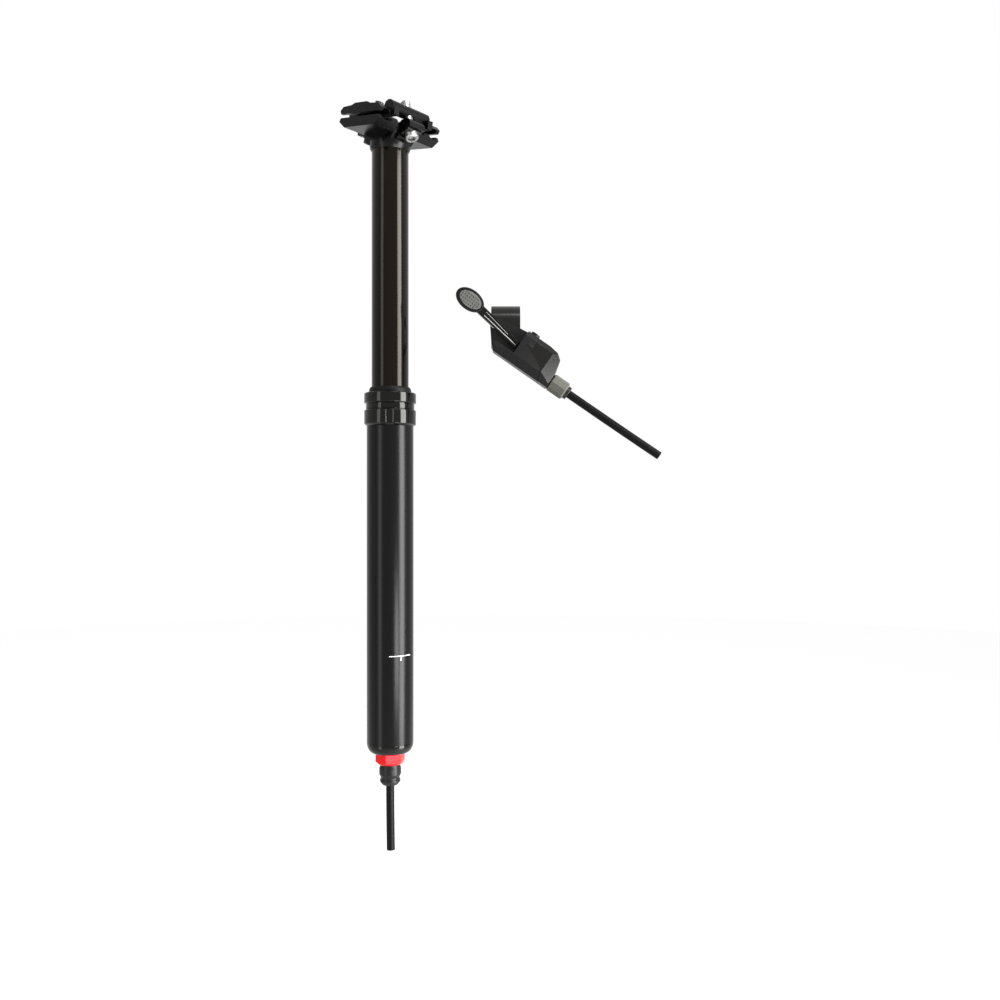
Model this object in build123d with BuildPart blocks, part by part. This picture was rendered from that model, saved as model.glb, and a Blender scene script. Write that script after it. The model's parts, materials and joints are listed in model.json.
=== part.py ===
from build123d import *
import math
import os

# Dropper seatpost with its hydraulic remote lever, in millimetres.
# +Z runs up the post and +X towards the saddle's nose. The origin is on the post's axis at the
# underside of the collar, which rests on the seat tube of a bicycle frame. The remote stands
# beside the post, squared up to someone who looks at both from the front right.

os.makedirs("parts", exist_ok=True)

# Fits, clearances and cuts
seat_gap = 0.03  # between pieces that are screwed, pressed or glued together
running_gap = 0.06  # between pieces that slide or turn in each other
thread_gap = 0.15  # between a bolt and the nut that it runs through
free_gap = 0.5  # round a piece that only passes through
overrun = 1.5  # how far a cut runs past the face it leaves by

# Outer tube
tube_diameter = 31.6
tube_wall = 2.3
tube_length = 214.0  # from the collar's underside to the rounded cap
neck_length = 12.0
neck_step = 0.8
key_groove_depth = 0.55

# Collar
collar_step = 1.8  # from the tube out to the collar
collar_taper = 1.4
lower_band = 9.5
collar_groove_height = 4.4
collar_groove_step = 1.2
upper_band = 7.1
band_chamfer = 0.5
collar_line_width = 0.5
collar_line_depth = 0.5
spanner_notch_width = 5.5
spanner_notch_depth = 0.9
spanner_notch_count = 4

# Wiper seal and upper bushing
lip_step = 1.8  # from the stanchion out to the lip
lip_height = 4.1
lip_edge = 1.0
seal_pocket_depth = 3.9
seal_pocket_step = 0.6
upper_bushing_length = 18.0

# Sliding tube and what closes its lower end
bearing_wall = 1.0  # between the stanchion and the tube's bore
stanchion_wall = 2.5
travel = 150.0
stop_margin = 9.5  # what stays in sight above the wiper when the post is down
overlap_length = 46.0  # how much of the stanchion is below the collar when the post is up
end_band_length = 12.0
end_band_step = 0.8
seal_head_flange = 2.0
seal_head_ring = 1.6
bumper_height = 5.7
bumper_margin = 0.3

# Anti-rotation keys
key_count = 3
key_length = 18.0
key_width = 4.0
key_pocket_depth = 1.0
key_start = 4.0  # above the lower bushing

# Hydraulic column
shaft_diameter = 10.0
shaft_wall = 1.5
shaft_socket = 6.0
piston_height = 12.0
piston_step = 0.25
piston_seal_height = 3.0
piston_seal_depth = 1.4
poppet_rod_diameter = 3.0
poppet_head_diameter = 7.4
poppet_head_height = 2.2
poppet_port_diameter = 4.6
poppet_stroke = 1.5
poppet_foot_diameter = 6.0
poppet_foot_height = 4.0
cage_height = 12.0
cage_wall = 1.6
cage_window_count = 3
cage_window_width = 4.0
spring_wire = 0.7
spring_turns = 4
floating_height = 12.0
floating_margin = 8.0
floating_skirt = 5.0

# Bottom end
cap_round = 7.0
cap_end_step = 4.55  # from the tube in to the cap's flat end
cap_spigot = 8.0
cap_groove = 0.5
hex_across = 20.3
hex_height = 8.0
hex_bevel = 2.2
barrel_diameter = 13.8
barrel_bulge_diameter = 14.8
barrel_waist_diameter = 12.8
barrel_end_diameter = 10.0
barrel_height = 14.5
barrel_rib_height = 1.6
barrel_flute_count = 8
barrel_flute_width = 1.6
barrel_flute_depth = 0.8

# Hoses
hose_diameter = 5.6
hose_bore = 2.3
hose_seat = 6.0
post_hose_shown = 44.0
remote_hose_shown = 77.0
hose_sag = 0.7

# Saddle clamp
clamp_lean = 10.0  # the rails' slope to the nose, in degrees
tilt_rise = 18.0  # the clamp turns about a line this far above the stanchion
cradle_radius = 12.8
seat_wall = 3.8
seat_half_width = 10.0
seat_lip_drop = 5.5
plug_length = 16.0
boss_step = 1.3
rail_diameter = 7.0
rail_spacing = 44.0
rail_gap = 0.05
jaw_length = 40.0
wing_gap = 0.4  # beside the trough
jaw_inner = 17.0
jaw_outer = 27.6
jaw_split = 1.2  # from the rails' plane to each jaw
lower_jaw_depth = 7.5
lower_jaw_tip = 3.6
lower_jaw_taper = 5.5
upper_jaw_tip = 3.6
upper_jaw_shoulder = 6.0
upper_jaw_step = 6.6
upper_jaw_crown = 7.8
crown_half_length = 6.0
crown_slope_length = 3.0
tip_slope_length = 2.8
flange_inner = 13.4
flange_shoulder = 6.4
flange_margin = 2.7  # past the nuts' bores
bridge_drop = 3.0
window_diameter = 13.0

# Clamp bolts
bolt_diameter = 6.0
bolt_head_diameter = 9.2
bolt_head_height = 3.9
socket_across = 5.0
socket_depth = 2.6
bolt_chamfer = 0.6
front_bolt_reach = 19.6  # from the post's axis to the bolt's foot
rear_bolt_reach = 18.5
front_bolt_drop = 7.8  # from the tilt line down to the bolt's foot
rear_bolt_drop = 2.0
front_bolt_past_nut = 8.5
rear_bolt_past_nut = 10.5
bolt_washer_radius = 4.0
bolt_washer_seat = 2.2
bolt_washer_half_width = 6.4
ear_half_width = 7.0
ear_roof = 1.6
ear_side = 2.6
nut_diameter = 8.6
nut_reach = 15.5
nut_rise = 7.4
nut_half_length = 17.6

# Air valve
valve_diameter = 8.0
valve_margin = 2.0
valve_hex_across = 9.5
valve_hex_height = 1.8
valve_cap_diameter = 7.6
valve_cap_height = 4.0

# Remote: where it stands and how it is turned
remote_side = 67.9  # beside the post
remote_height = 59.2
remote_turn = 40.0  # about the vertical, in degrees
remote_drop = 34.8  # its hose points down by this many degrees

# Remote housing, along the hose (u), across it (n) and towards the one who looks at it (w)
body_back = 10.4
body_front = 9.6
body_shelf = -1.0
body_low = 5.5
body_top = 18.8
body_end = 50.0
body_left = 6.2
body_left_rise = 8.9
body_foot = 6.3
body_round = 2.2
low_facet = 5.6
cover_facet = 3.6
seam_gap = 0.8
cover_gap = 0.12
cover_back = 1.6

# Paddle
pivot_u = 24.0
pivot_w = 3.0
pivot_diameter = 4.0
pivot_low = -3.0
pivot_boss_diameter = 6.4
pivot_boss_rise = 1.5
hub_radius = 4.4
hub_low = 1.4
hub_high = 9.6
hub_margin = 0.6
arm_out_angle = 14.0
arm_thickness = 3.2
arm_height = 6.0
arm_channel_width = 2.6
arm_channel_depth = 1.2
paddle_u = -24.4
paddle_n = 12.0
paddle_length = 21.0
paddle_height = 13.6
paddle_thickness = 3.4
pad_length = 16.5
pad_height = 10.0
pad_thickness = 1.0
pad_depth = 0.5
crank_reach = 7.0
crank_width = 4.4
crank_height = 5.0

# Master cylinder
cylinder_radius = 4.0
cylinder_n = 5.5
cylinder_end = 47.5
push_rod_diameter = 3.0
push_rod_length = 4.5
master_piston_length = 9.0
master_seal_width = 1.8
master_seal_depth = 1.0
bleed_diameter = 5.0
bleed_length = 2.6
bleed_u = 41.0
bleed_n = 0.8

# Speed dial and hose nut
dial_across = 12.6
dial_length = 12.6
dial_chamfer = 1.0
dial_bore = 8.0
dial_sides = 8
ferrule_flange = 2.2
ferrule_flange_diameter = 9.2

# Handlebar clamp
bar_diameter = 22.2
bar_gap = 0.05
band_wall = 3.6
band_width = 20.0
band_u = 2.2
band_n = 15.6
band_w = -19.5
band_split = 0.8
lug_depth = 9.0
lug_half = 4.6
band_bolt_diameter = 4.0
band_bolt_head_diameter = 7.0
band_bolt_head_height = 3.0
band_socket_across = 3.0
band_socket_depth = 1.8
mount_screw_diameter = 3.0
mount_screw_head = 5.4
mount_screw_length = 4.6
mount_screw_drop = 5.0  # below the bar's axis
master_spring_wire = 0.8
master_spring_turns = 5


def spin(*outline, mode=Mode.ADD):
    """Turn a closed outline of (radius, height) points about the post's axis."""
    with BuildSketch(Plane.XZ) as profile:
        with BuildLine():
            Polyline(*outline, close=True)
        make_face()
    revolve(profile.sketch, axis=Axis.Z, mode=mode)


def rod(place, radius, length, mode=Mode.ADD):
    """A round bar from the place's origin along its normal."""
    with BuildSketch(place) as profile:
        Circle(radius)
    extrude(profile.sketch, amount=length, mode=mode)


def plate(place, outline, start, end, mode=Mode.ADD):
    """A flat plate of this outline between two heights above the place."""
    with BuildSketch(place.offset(start)) as profile:
        with BuildLine():
            Polyline(*outline, close=True)
        make_face()
    extrude(profile.sketch, amount=end - start, mode=mode)


def bar(place, x_range, y_range, z_range, mode=Mode.ADD):
    """A square-edged block between these limits in the place's own directions."""
    low, high = zip(x_range, y_range, z_range)
    outline = [(low[0], low[1]), (high[0], low[1]), (high[0], high[1]), (low[0], high[1])]
    plate(place, outline, low[2], high[2], mode)


def prism(place, across, sides, length, mode=Mode.ADD):
    """A bar with this many sides, measured across its corners."""
    with BuildSketch(place) as profile:
        RegularPolygon(across / 2, sides)
    extrude(profile.sketch, amount=length, mode=mode)


def save(piece, label):
    """Label a finished piece and write its file."""
    piece.part.label = label
    export_step(piece.part, f"parts/{label}.step")


# Heights along the post that several pieces share
collar_height = collar_taper + lower_band + collar_groove_height + upper_band
lip_top = collar_height + lip_height
stanchion_top = lip_top + stop_margin + travel
stanchion_bottom = -overlap_length
end_band_top = stanchion_bottom + end_band_length
tilt_height = stanchion_top + tilt_rise
cap_top = -tube_length
cap_bottom = cap_top - cap_round
hex_bottom = cap_bottom - hex_height
barrel_bottom = hex_bottom - barrel_height

tube_radius = tube_diameter / 2
bore_radius = tube_radius - tube_wall
neck_radius = tube_radius - neck_step
stanchion_radius = bore_radius - bearing_wall
stanchion_bore = stanchion_radius - stanchion_wall
shaft_radius = shaft_diameter / 2
groove_floor = bore_radius + key_groove_depth

# Outer tube, with one long groove for each key below the bushing
with BuildPart() as outer_tube:
    spin(
        (bore_radius, cap_top),
        (tube_radius, cap_top),
        (tube_radius, 0),
        (neck_radius, 0),
        (neck_radius, neck_length),
        (bore_radius, neck_length),
    )
    bushing_bottom = neck_length - upper_bushing_length
    for turn in range(key_count):
        place = Plane.XY.rotated((0, 0, turn * 360 / key_count))
        half_groove = key_width / 2 + running_gap
        bar(
            place,
            (bore_radius - overrun, groove_floor),
            (-half_groove, half_groove),
            (cap_top - overrun, bushing_bottom - overrun),
            Mode.SUBTRACT,
        )
save(outer_tube, "outer_tube")

# Collar: two bands with a groove between them, thin turned lines and notches for a spanner
collar_radius = tube_radius + collar_step
groove_bottom = collar_taper + lower_band
groove_top = groove_bottom + collar_groove_height
groove_radius = collar_radius - collar_groove_step
throat_radius = stanchion_radius + free_gap
lip_radius = stanchion_radius + lip_step
pocket_radius = lip_radius - seal_pocket_step
pocket_bottom = collar_height - seal_pocket_depth
with BuildPart() as top_collar:
    spin(
        (neck_radius + seat_gap, 0),
        (tube_radius, 0),
        (collar_radius, collar_taper),
        (collar_radius, groove_bottom - band_chamfer),
        (collar_radius - band_chamfer, groove_bottom),
        (groove_radius, groove_bottom),
        (groove_radius, groove_top),
        (collar_radius - band_chamfer, groove_top),
        (collar_radius, groove_top + band_chamfer),
        (collar_radius, collar_height - band_chamfer),
        (collar_radius - band_chamfer, collar_height),
        (pocket_radius, collar_height),
        (pocket_radius, pocket_bottom),
        (throat_radius, pocket_bottom),
        (throat_radius, neck_length + seat_gap),
        (neck_radius + seat_gap, neck_length + seat_gap),
    )
    for height in (groove_bottom, groove_top - collar_line_width):
        spin(
            (groove_radius - collar_line_depth, height),
            (groove_radius + overrun, height),
            (groove_radius + overrun, height + collar_line_width),
            (groove_radius - collar_line_depth, height + collar_line_width),
            mode=Mode.SUBTRACT,
        )
    for turn in range(spanner_notch_count):
        place = Plane.XY.rotated((0, 0, (turn + 0.5) * 360 / spanner_notch_count))
        bar(
            place,
            (collar_radius - spanner_notch_depth, collar_radius + overrun),
            (-spanner_notch_width / 2, spanner_notch_width / 2),
            (-overrun, groove_bottom - 2 * band_chamfer - collar_groove_step),
            Mode.SUBTRACT,
        )
save(top_collar, "top_collar")

# Wiper seal: a foot in the collar's pocket and a lip that leans on the stanchion
seal_bore = stanchion_radius + running_gap
with BuildPart() as wiper_seal:
    spin(
        (seal_bore, pocket_bottom),
        (pocket_radius - seat_gap, pocket_bottom),
        (pocket_radius - seat_gap, collar_height),
        (lip_radius, collar_height),
        (lip_radius, lip_top - 2 * lip_edge),
        (lip_radius - lip_edge / 2, lip_top - lip_edge / 2),
        (seal_bore + lip_edge / 2, lip_top),
        (seal_bore, lip_top - lip_edge / 2),
    )
save(wiper_seal, "wiper_seal")

# Upper bushing, pressed into the tube's mouth
with BuildPart() as upper_bushing:
    spin(
        (stanchion_radius + running_gap, bushing_bottom),
        (bore_radius - seat_gap, bushing_bottom),
        (bore_radius - seat_gap, neck_length),
        (stanchion_radius + running_gap, neck_length),
    )
save(upper_bushing, "upper_bushing")

# Stanchion, turned down for the lower bushing, with a pocket for each key
end_band_radius = stanchion_radius - end_band_step
key_bottom = end_band_top + key_start
key_middle = key_bottom + key_length / 2
key_floor = stanchion_radius - key_pocket_depth
with BuildPart() as stanchion:
    spin(
        (stanchion_bore, stanchion_bottom),
        (end_band_radius, stanchion_bottom),
        (end_band_radius, end_band_top),
        (stanchion_radius, end_band_top),
        (stanchion_radius, stanchion_top),
        (stanchion_bore, stanchion_top),
    )
    for turn in range(key_count):
        place = Plane.YZ.rotated((0, 0, turn * 360 / key_count)).offset(key_floor)
        with BuildSketch(place) as pocket:
            with Locations((0, key_middle)):
                SlotOverall(key_length + 2 * seat_gap, key_width + 2 * seat_gap, rotation=90)
        extrude(pocket.sketch, amount=key_pocket_depth + overrun, mode=Mode.SUBTRACT)
save(stanchion, "stanchion")

# Brass keys: each lies half in the stanchion's pocket and half in the tube's groove
with BuildPart() as guide_keys:
    for turn in range(key_count):
        place = Plane.YZ.rotated((0, 0, turn * 360 / key_count)).offset(key_floor + seat_gap)
        with BuildSketch(place) as key:
            with Locations((0, key_middle)):
                SlotOverall(key_length, key_width, rotation=90)
        extrude(key.sketch, amount=groove_floor - key_floor - seat_gap - running_gap)
save(guide_keys, "guide_keys")

# Lower bushing, in the turned-down band
with BuildPart() as lower_bushing:
    spin(
        (end_band_radius + seat_gap, stanchion_bottom),
        (bore_radius - running_gap, stanchion_bottom),
        (bore_radius - running_gap, end_band_top),
        (end_band_radius + seat_gap, end_band_top),
    )
save(lower_bushing, "lower_bushing")

# Seal head: screwed into the stanchion's lower end, sliding on the fixed shaft
seal_head_top = end_band_top
with BuildPart() as seal_head:
    spin(
        (shaft_radius + running_gap, stanchion_bottom - seal_head_flange),
        (stanchion_radius, stanchion_bottom - seal_head_flange),
        (stanchion_radius, stanchion_bottom),
        (stanchion_bore - seat_gap, stanchion_bottom),
        (stanchion_bore - seat_gap, seal_head_top),
        (shaft_radius + seal_head_ring, seal_head_top),
        (shaft_radius + seal_head_ring, seal_head_top - seal_head_ring),
        (shaft_radius + running_gap, seal_head_top - seal_head_ring),
    )
save(seal_head, "seal_head")

with BuildPart() as shaft_seal:
    spin(
        (shaft_radius + running_gap, seal_head_top - seal_head_ring),
        (shaft_radius + seal_head_ring - seat_gap, seal_head_top - seal_head_ring),
        (shaft_radius + seal_head_ring - seat_gap, seal_head_top),
        (shaft_radius + running_gap, seal_head_top),
    )
save(shaft_seal, "shaft_seal")

# Rubber ring that softens the stop at full height
bumper_top = seal_head_top + bumper_height
with BuildPart() as topout_bumper:
    spin(
        (shaft_radius + free_gap, seal_head_top),
        (stanchion_bore - free_gap / 2, seal_head_top),
        (stanchion_bore - free_gap, bumper_top),
        (shaft_radius + 2 * free_gap, bumper_top),
    )
save(topout_bumper, "topout_bumper")

# Main piston on the fixed shaft, with its seal
piston_bottom = bumper_top + bumper_margin
piston_top = piston_bottom + piston_height
piston_radius = stanchion_bore - piston_step
seal_groove_radius = piston_radius - piston_seal_depth
seal_bottom = (piston_bottom + piston_top - piston_seal_height) / 2
seal_top = seal_bottom + piston_seal_height
socket_top = piston_bottom + shaft_socket
port_radius = poppet_port_diameter / 2
with BuildPart() as main_piston:
    spin(
        (shaft_radius + seat_gap, piston_bottom),
        (piston_radius, piston_bottom),
        (piston_radius, seal_bottom),
        (seal_groove_radius, seal_bottom),
        (seal_groove_radius, seal_top),
        (piston_radius, seal_top),
        (piston_radius, piston_top),
        (port_radius, piston_top),
        (port_radius, socket_top),
        (shaft_radius + seat_gap, socket_top),
    )
save(main_piston, "main_piston")

with BuildPart() as piston_seal:
    spin(
        (seal_groove_radius + seat_gap, seal_bottom),
        (stanchion_bore - running_gap, seal_bottom),
        (stanchion_bore - running_gap, seal_top),
        (seal_groove_radius + seat_gap, seal_top),
    )
save(piston_seal, "piston_seal")

# Fixed hollow shaft from the bottom cap up to the piston
shaft_bottom = cap_top - cap_groove
shaft_bore = shaft_radius - shaft_wall
with BuildPart() as inner_shaft:
    spin(
        (shaft_bore, shaft_bottom),
        (shaft_radius, shaft_bottom),
        (shaft_radius, socket_top),
        (shaft_bore, socket_top),
    )
save(inner_shaft, "inner_shaft")

# Poppet: hose pressure lifts its foot, and its head opens the piston's port
poppet_foot_bottom = shaft_bottom + poppet_foot_height
with BuildPart() as poppet:
    spin(
        (0, poppet_foot_bottom),
        (poppet_foot_diameter / 2, poppet_foot_bottom),
        (poppet_foot_diameter / 2, poppet_foot_bottom + poppet_foot_height),
        (poppet_rod_diameter / 2, poppet_foot_bottom + poppet_foot_height + poppet_stroke),
        (poppet_rod_diameter / 2, piston_top),
        (poppet_head_diameter / 2, piston_top),
        (poppet_head_diameter / 2, piston_top + poppet_head_height / 2),
        (poppet_rod_diameter / 2, piston_top + poppet_head_height),
        (0, piston_top + poppet_head_height),
    )
save(poppet, "poppet")

# Windowed cage over the poppet, and the spring that closes it
cage_radius = poppet_head_diameter / 2 + free_gap + cage_wall
cage_top = piston_top + cage_height
with BuildPart() as valve_cage:
    spin(
        (cage_radius - cage_wall, piston_top),
        (cage_radius, piston_top),
        (cage_radius, cage_top),
        (0, cage_top),
        (0, cage_top - cage_wall),
        (cage_radius - cage_wall, cage_top - cage_wall),
    )
    for turn in range(cage_window_count):
        place = Plane.XY.rotated((0, 0, turn * 360 / cage_window_count))
        bar(
            place,
            (cage_radius - cage_wall - free_gap, cage_radius + overrun),
            (-cage_window_width / 2, cage_window_width / 2),
            (piston_top + cage_wall, cage_top - 2 * cage_wall),
            Mode.SUBTRACT,
        )
save(valve_cage, "valve_cage")

spring_radius = cage_radius - cage_wall - spring_wire
spring_bottom = piston_top + poppet_head_height + spring_wire / 2
spring_top = cage_top - cage_wall - spring_wire / 2
with BuildPart() as poppet_spring:
    with BuildLine() as spring_path:
        Helix(
            (spring_top - spring_bottom) / spring_turns,
            spring_top - spring_bottom,
            spring_radius,
            center=(0, 0, spring_bottom),
        )
    with BuildSketch(spring_path.line ^ 0):
        Circle(spring_wire / 2)
    sweep(is_frenet=True)
save(poppet_spring, "poppet_spring")

# Floating piston: parts the oil from the gas, and rises as the shaft fills the stanchion
shaft_share = (shaft_radius / stanchion_bore) ** 2
floating_rise = travel * shaft_share
floating_bottom = cage_top + travel - floating_rise + floating_margin
floating_top = floating_bottom + floating_height
floating_seal_bottom = floating_bottom + (floating_height - piston_seal_height) / 2
floating_seal_top = floating_seal_bottom + piston_seal_height
with BuildPart() as floating_piston:
    spin(
        (0, floating_bottom),
        (piston_radius, floating_bottom),
        (piston_radius, floating_seal_bottom),
        (seal_groove_radius, floating_seal_bottom),
        (seal_groove_radius, floating_seal_top),
        (piston_radius, floating_seal_top),
        (piston_radius, floating_top),
        (floating_skirt, floating_top),
        (floating_skirt, floating_top - floating_skirt),
        (0, floating_top - floating_skirt),
    )
save(floating_piston, "floating_piston")

with BuildPart() as floating_seal:
    spin(
        (seal_groove_radius + seat_gap, floating_seal_bottom),
        (stanchion_bore - running_gap, floating_seal_bottom),
        (stanchion_bore - running_gap, floating_seal_top),
        (seal_groove_radius + seat_gap, floating_seal_top),
    )
save(floating_seal, "floating_seal")

# Bottom cap: rounded end, screwed into the tube, with the socket for the shaft
cap_end_radius = tube_radius - cap_end_step
with BuildPart() as bottom_cap:
    with BuildSketch(Plane.XZ):
        with BuildLine():
            Polyline(
                (shaft_radius + seat_gap, cap_top - cap_groove),
                (shaft_radius + seat_gap, cap_top + cap_spigot),
                (bore_radius - seat_gap, cap_top + cap_spigot),
                (bore_radius - seat_gap, cap_top),
                (tube_radius - neck_step / 2, cap_top),
                (tube_radius - neck_step / 2, cap_top - cap_groove),
                (tube_radius, cap_top - cap_groove),
            )
            RadiusArc(
                (tube_radius, cap_top - cap_groove),
                (cap_end_radius, cap_bottom),
                cap_round + cap_groove,
            )
            Polyline(
                (cap_end_radius, cap_bottom),
                (hose_diameter / 2, cap_bottom),
                (hose_diameter / 2, cap_top - cap_groove),
                (shaft_radius + seat_gap, cap_top - cap_groove),
            )
        make_face()
    revolve(axis=Axis.Z)
save(bottom_cap, "bottom_cap")

# Red hexagon of the quick connector, bevelled towards the hose
hose_radius = hose_diameter / 2
hex_radius = hex_across / 2
with BuildPart() as connector_hex:
    prism(Plane.XY.offset(hex_bottom), hex_across, 6, hex_height)
    spin(
        (hose_radius + seat_gap, hex_bottom - overrun),
        (hex_radius - hex_bevel, hex_bottom - overrun),
        (hex_radius - hex_bevel, hex_bottom),
        (hex_radius + hex_bevel, hex_bottom + hex_height / 2),
        (hex_radius + hex_bevel, cap_bottom),
        (hose_radius + seat_gap, cap_bottom),
        mode=Mode.INTERSECT,
    )
save(connector_hex, "connector_hex")

# Black fitting below it, with a bulge, a ribbed waist and grip flutes
rib_top = hex_bottom - barrel_height / 2
with BuildPart() as connector_barrel:
    spin(
        (hose_radius + seat_gap, hex_bottom),
        (barrel_diameter / 2, hex_bottom),
        (barrel_diameter / 2, hex_bottom - barrel_rib_height),
        (barrel_bulge_diameter / 2, hex_bottom - 2 * barrel_rib_height),
        (barrel_bulge_diameter / 2, rib_top),
        (barrel_waist_diameter / 2, rib_top - barrel_rib_height),
        (barrel_waist_diameter / 2, rib_top - 2 * barrel_rib_height),
        (barrel_diameter / 2, rib_top - 2 * barrel_rib_height),
        (barrel_diameter / 2, rib_top - 3 * barrel_rib_height),
        (barrel_end_diameter / 2, barrel_bottom),
        (hose_radius + seat_gap, barrel_bottom),
    )
    for turn in range(barrel_flute_count):
        place = Plane.XY.rotated((0, 0, turn * 360 / barrel_flute_count))
        bar(
            place,
            (barrel_bulge_diameter / 2 - barrel_flute_depth, barrel_bulge_diameter / 2 + overrun),
            (-barrel_flute_width / 2, barrel_flute_width / 2),
            (rib_top, hex_bottom - 2 * barrel_rib_height),
            Mode.SUBTRACT,
        )
save(connector_barrel, "connector_barrel")


def hose(points):
    """A hose along these points: straight runs joined by tangent arcs, with its bore."""
    runs = [(Vector(*b) - Vector(*a)) for a, b in zip(points, points[1:])]
    radii = []
    for first, second in zip(runs, runs[1:]):
        turn = math.radians(first.get_angle(second))
        radii.append(0.45 * min(first.length, second.length) / math.tan(turn / 2))
    print("hose radii", [round(radius, 1) for radius in radii])
    with BuildLine() as route:
        FilletPolyline(*points, radius=radii)
    path = route.wire()
    with BuildSketch(path ^ 0) as section:
        Circle(hose_radius)
        Circle(hose_bore / 2, mode=Mode.SUBTRACT)
    sweep(section.sketch, path=path)
    area = math.pi * (hose_radius**2 - (hose_bore / 2) ** 2)
    print("hose length", round(path.length, 2), "section times length", round(area * path.length))


# Hose of the post: straight down out of the fitting
hose_top = barrel_bottom + hose_seat
hose_foot = barrel_bottom - post_hose_shown
with BuildPart() as post_hose:
    hose(
        [
            (0, 0, hose_top),
            (0, 0, hose_foot + (hose_top - hose_foot) / 2),
            (hose_sag, 0, hose_foot),
        ]
    )
save(post_hose, "post_hose")

# Saddle clamp: its own directions lean nose-down, as the rails do on a bicycle
clamp_tilt = math.radians(clamp_lean)
rail_direction = Vector(math.cos(clamp_tilt), 0, -math.sin(clamp_tilt))
clamp_side = Plane(origin=(0, 0, tilt_height), x_dir=rail_direction, z_dir=(0, -1, 0))
post_side = Plane(origin=(0, 0, tilt_height), x_dir=(1, 0, 0), z_dir=(0, -1, 0))
rail_radius = rail_diameter / 2 + rail_gap
seat_radius = cradle_radius + running_gap

# The bolts run from a foot in the head's ear up to a barrel nut on the upper clamps
bolt_feet = [
    Vector(front_bolt_reach, 0, tilt_height - front_bolt_drop),
    Vector(-rear_bolt_reach, 0, tilt_height - rear_bolt_drop),
]
nut_centres = [clamp_side.from_local_coords(Vector(side * nut_reach, nut_rise, 0)) for side in (1, -1)]
bolt_axes = [(nut - foot).normalized() for foot, nut in zip(bolt_feet, nut_centres)]


def across_post(centre):
    """The place of a cylinder that lies across the post, seen along its own middle."""
    return Plane(origin=centre, x_dir=(1, 0, 0), z_dir=(0, -1, 0))


def cross_rod(centre, radius, half_length, mode=Mode.ADD):
    """A round bar across the post, centred on its middle plane."""
    rod(across_post(centre).offset(-half_length), radius, 2 * half_length, mode)


def rail_groove(side):
    """Cut the groove that one saddle rail lies in."""
    centre = Vector(0, side * rail_spacing / 2, tilt_height)
    start = Plane(origin=centre - rail_direction * jaw_length, z_dir=rail_direction)
    rod(start, rail_radius, 2 * jaw_length, Mode.SUBTRACT)


def along_bolt(index, distance):
    """A place on a bolt's axis, this far above its foot, facing up the bolt."""
    return Plane(
        origin=bolt_feet[index] + bolt_axes[index] * distance,
        x_dir=(0, 1, 0),
        z_dir=bolt_axes[index],
    )


# Head: plug, boss, the trough that the cradle turns in, and an ear for each bolt
boss_radius = stanchion_radius + boss_step
trough_radius = seat_radius + seat_wall
ear_bore = bolt_washer_radius + running_gap
ear_rise = ear_bore + ear_roof
valve_radius = valve_diameter / 2
plug_bottom = stanchion_top - plug_length
with BuildPart() as head:
    spin(
        (valve_radius + seat_gap, plug_bottom),
        (stanchion_bore - seat_gap, plug_bottom),
        (stanchion_bore - seat_gap, stanchion_top),
        (stanchion_radius, stanchion_top),
        (boss_radius, stanchion_top + 2 * boss_step),
        (boss_radius, tilt_height - seat_radius + boss_step),
        (valve_radius + seat_gap, tilt_height - seat_radius + boss_step),
    )
    with BuildSketch(post_side) as trough:
        Circle(trough_radius)
        with Locations((0, trough_radius - seat_lip_drop)):
            Rectangle(2 * (trough_radius + overrun), 2 * trough_radius, mode=Mode.SUBTRACT)
    extrude(trough.sketch, amount=seat_half_width, both=True)
    for side, foot in zip((1, -1), bolt_feet):
        reach, rise = side * foot.X, foot.Z - tilt_height
        rib_outline = [
            (trough_radius / 2, boss_step - trough_radius),
            (reach + ear_bore, rise),
            (reach + ear_bore + ear_side, rise),
            (reach + ear_bore + ear_side, rise + ear_rise - ear_side),
            (reach + ear_bore, rise + ear_rise),
            (reach - ear_bore + ear_side, rise + ear_rise),
            (reach - ear_bore, rise + ear_rise - ear_side),
            (trough_radius / 2, -seat_lip_drop),
        ]
        outline = [(side * x, z) for x, z in rib_outline]
        plate(post_side, outline, -ear_half_width, ear_half_width)
    cross_rod(post_side.origin, seat_radius, jaw_inner, Mode.SUBTRACT)
    for index, foot in enumerate(bolt_feet):
        cross_rod(foot, ear_bore, ear_half_width + overrun, Mode.SUBTRACT)
        rod(along_bolt(index, -ear_side), bolt_diameter / 2 + free_gap, 2 * nut_rise, Mode.SUBTRACT)
        bar(
            across_post(foot),
            (-ear_bore, ear_bore),
            (-trough_radius, 0),
            (-ear_half_width - overrun, ear_half_width + overrun),
            Mode.SUBTRACT,
        )
    rod(Plane.XY.offset(plug_bottom), valve_radius + seat_gap, 2 * tilt_rise, Mode.SUBTRACT)
    spot_radius = valve_hex_across / 2 + seat_gap
    rod(Plane.XY.offset(tilt_height - seat_radius), spot_radius, tilt_rise, Mode.SUBTRACT)
save(head, "head")

# Air valve in the head, with its cap, under the cradle's window
valve_bottom = plug_bottom + valve_margin
valve_seat = tilt_height - seat_radius
valve_hex_top = valve_seat + valve_hex_height
with BuildPart() as air_valve:
    rod(Plane.XY.offset(valve_bottom), valve_radius, valve_seat - valve_bottom)
    prism(Plane.XY.offset(valve_seat), valve_hex_across, 6, valve_hex_height)
    spin(
        (0, valve_bottom - overrun),
        (hose_bore / 2, valve_bottom - overrun),
        (hose_bore / 2, valve_hex_top + overrun),
        (0, valve_hex_top + overrun),
        mode=Mode.SUBTRACT,
    )
save(air_valve, "air_valve")

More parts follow.
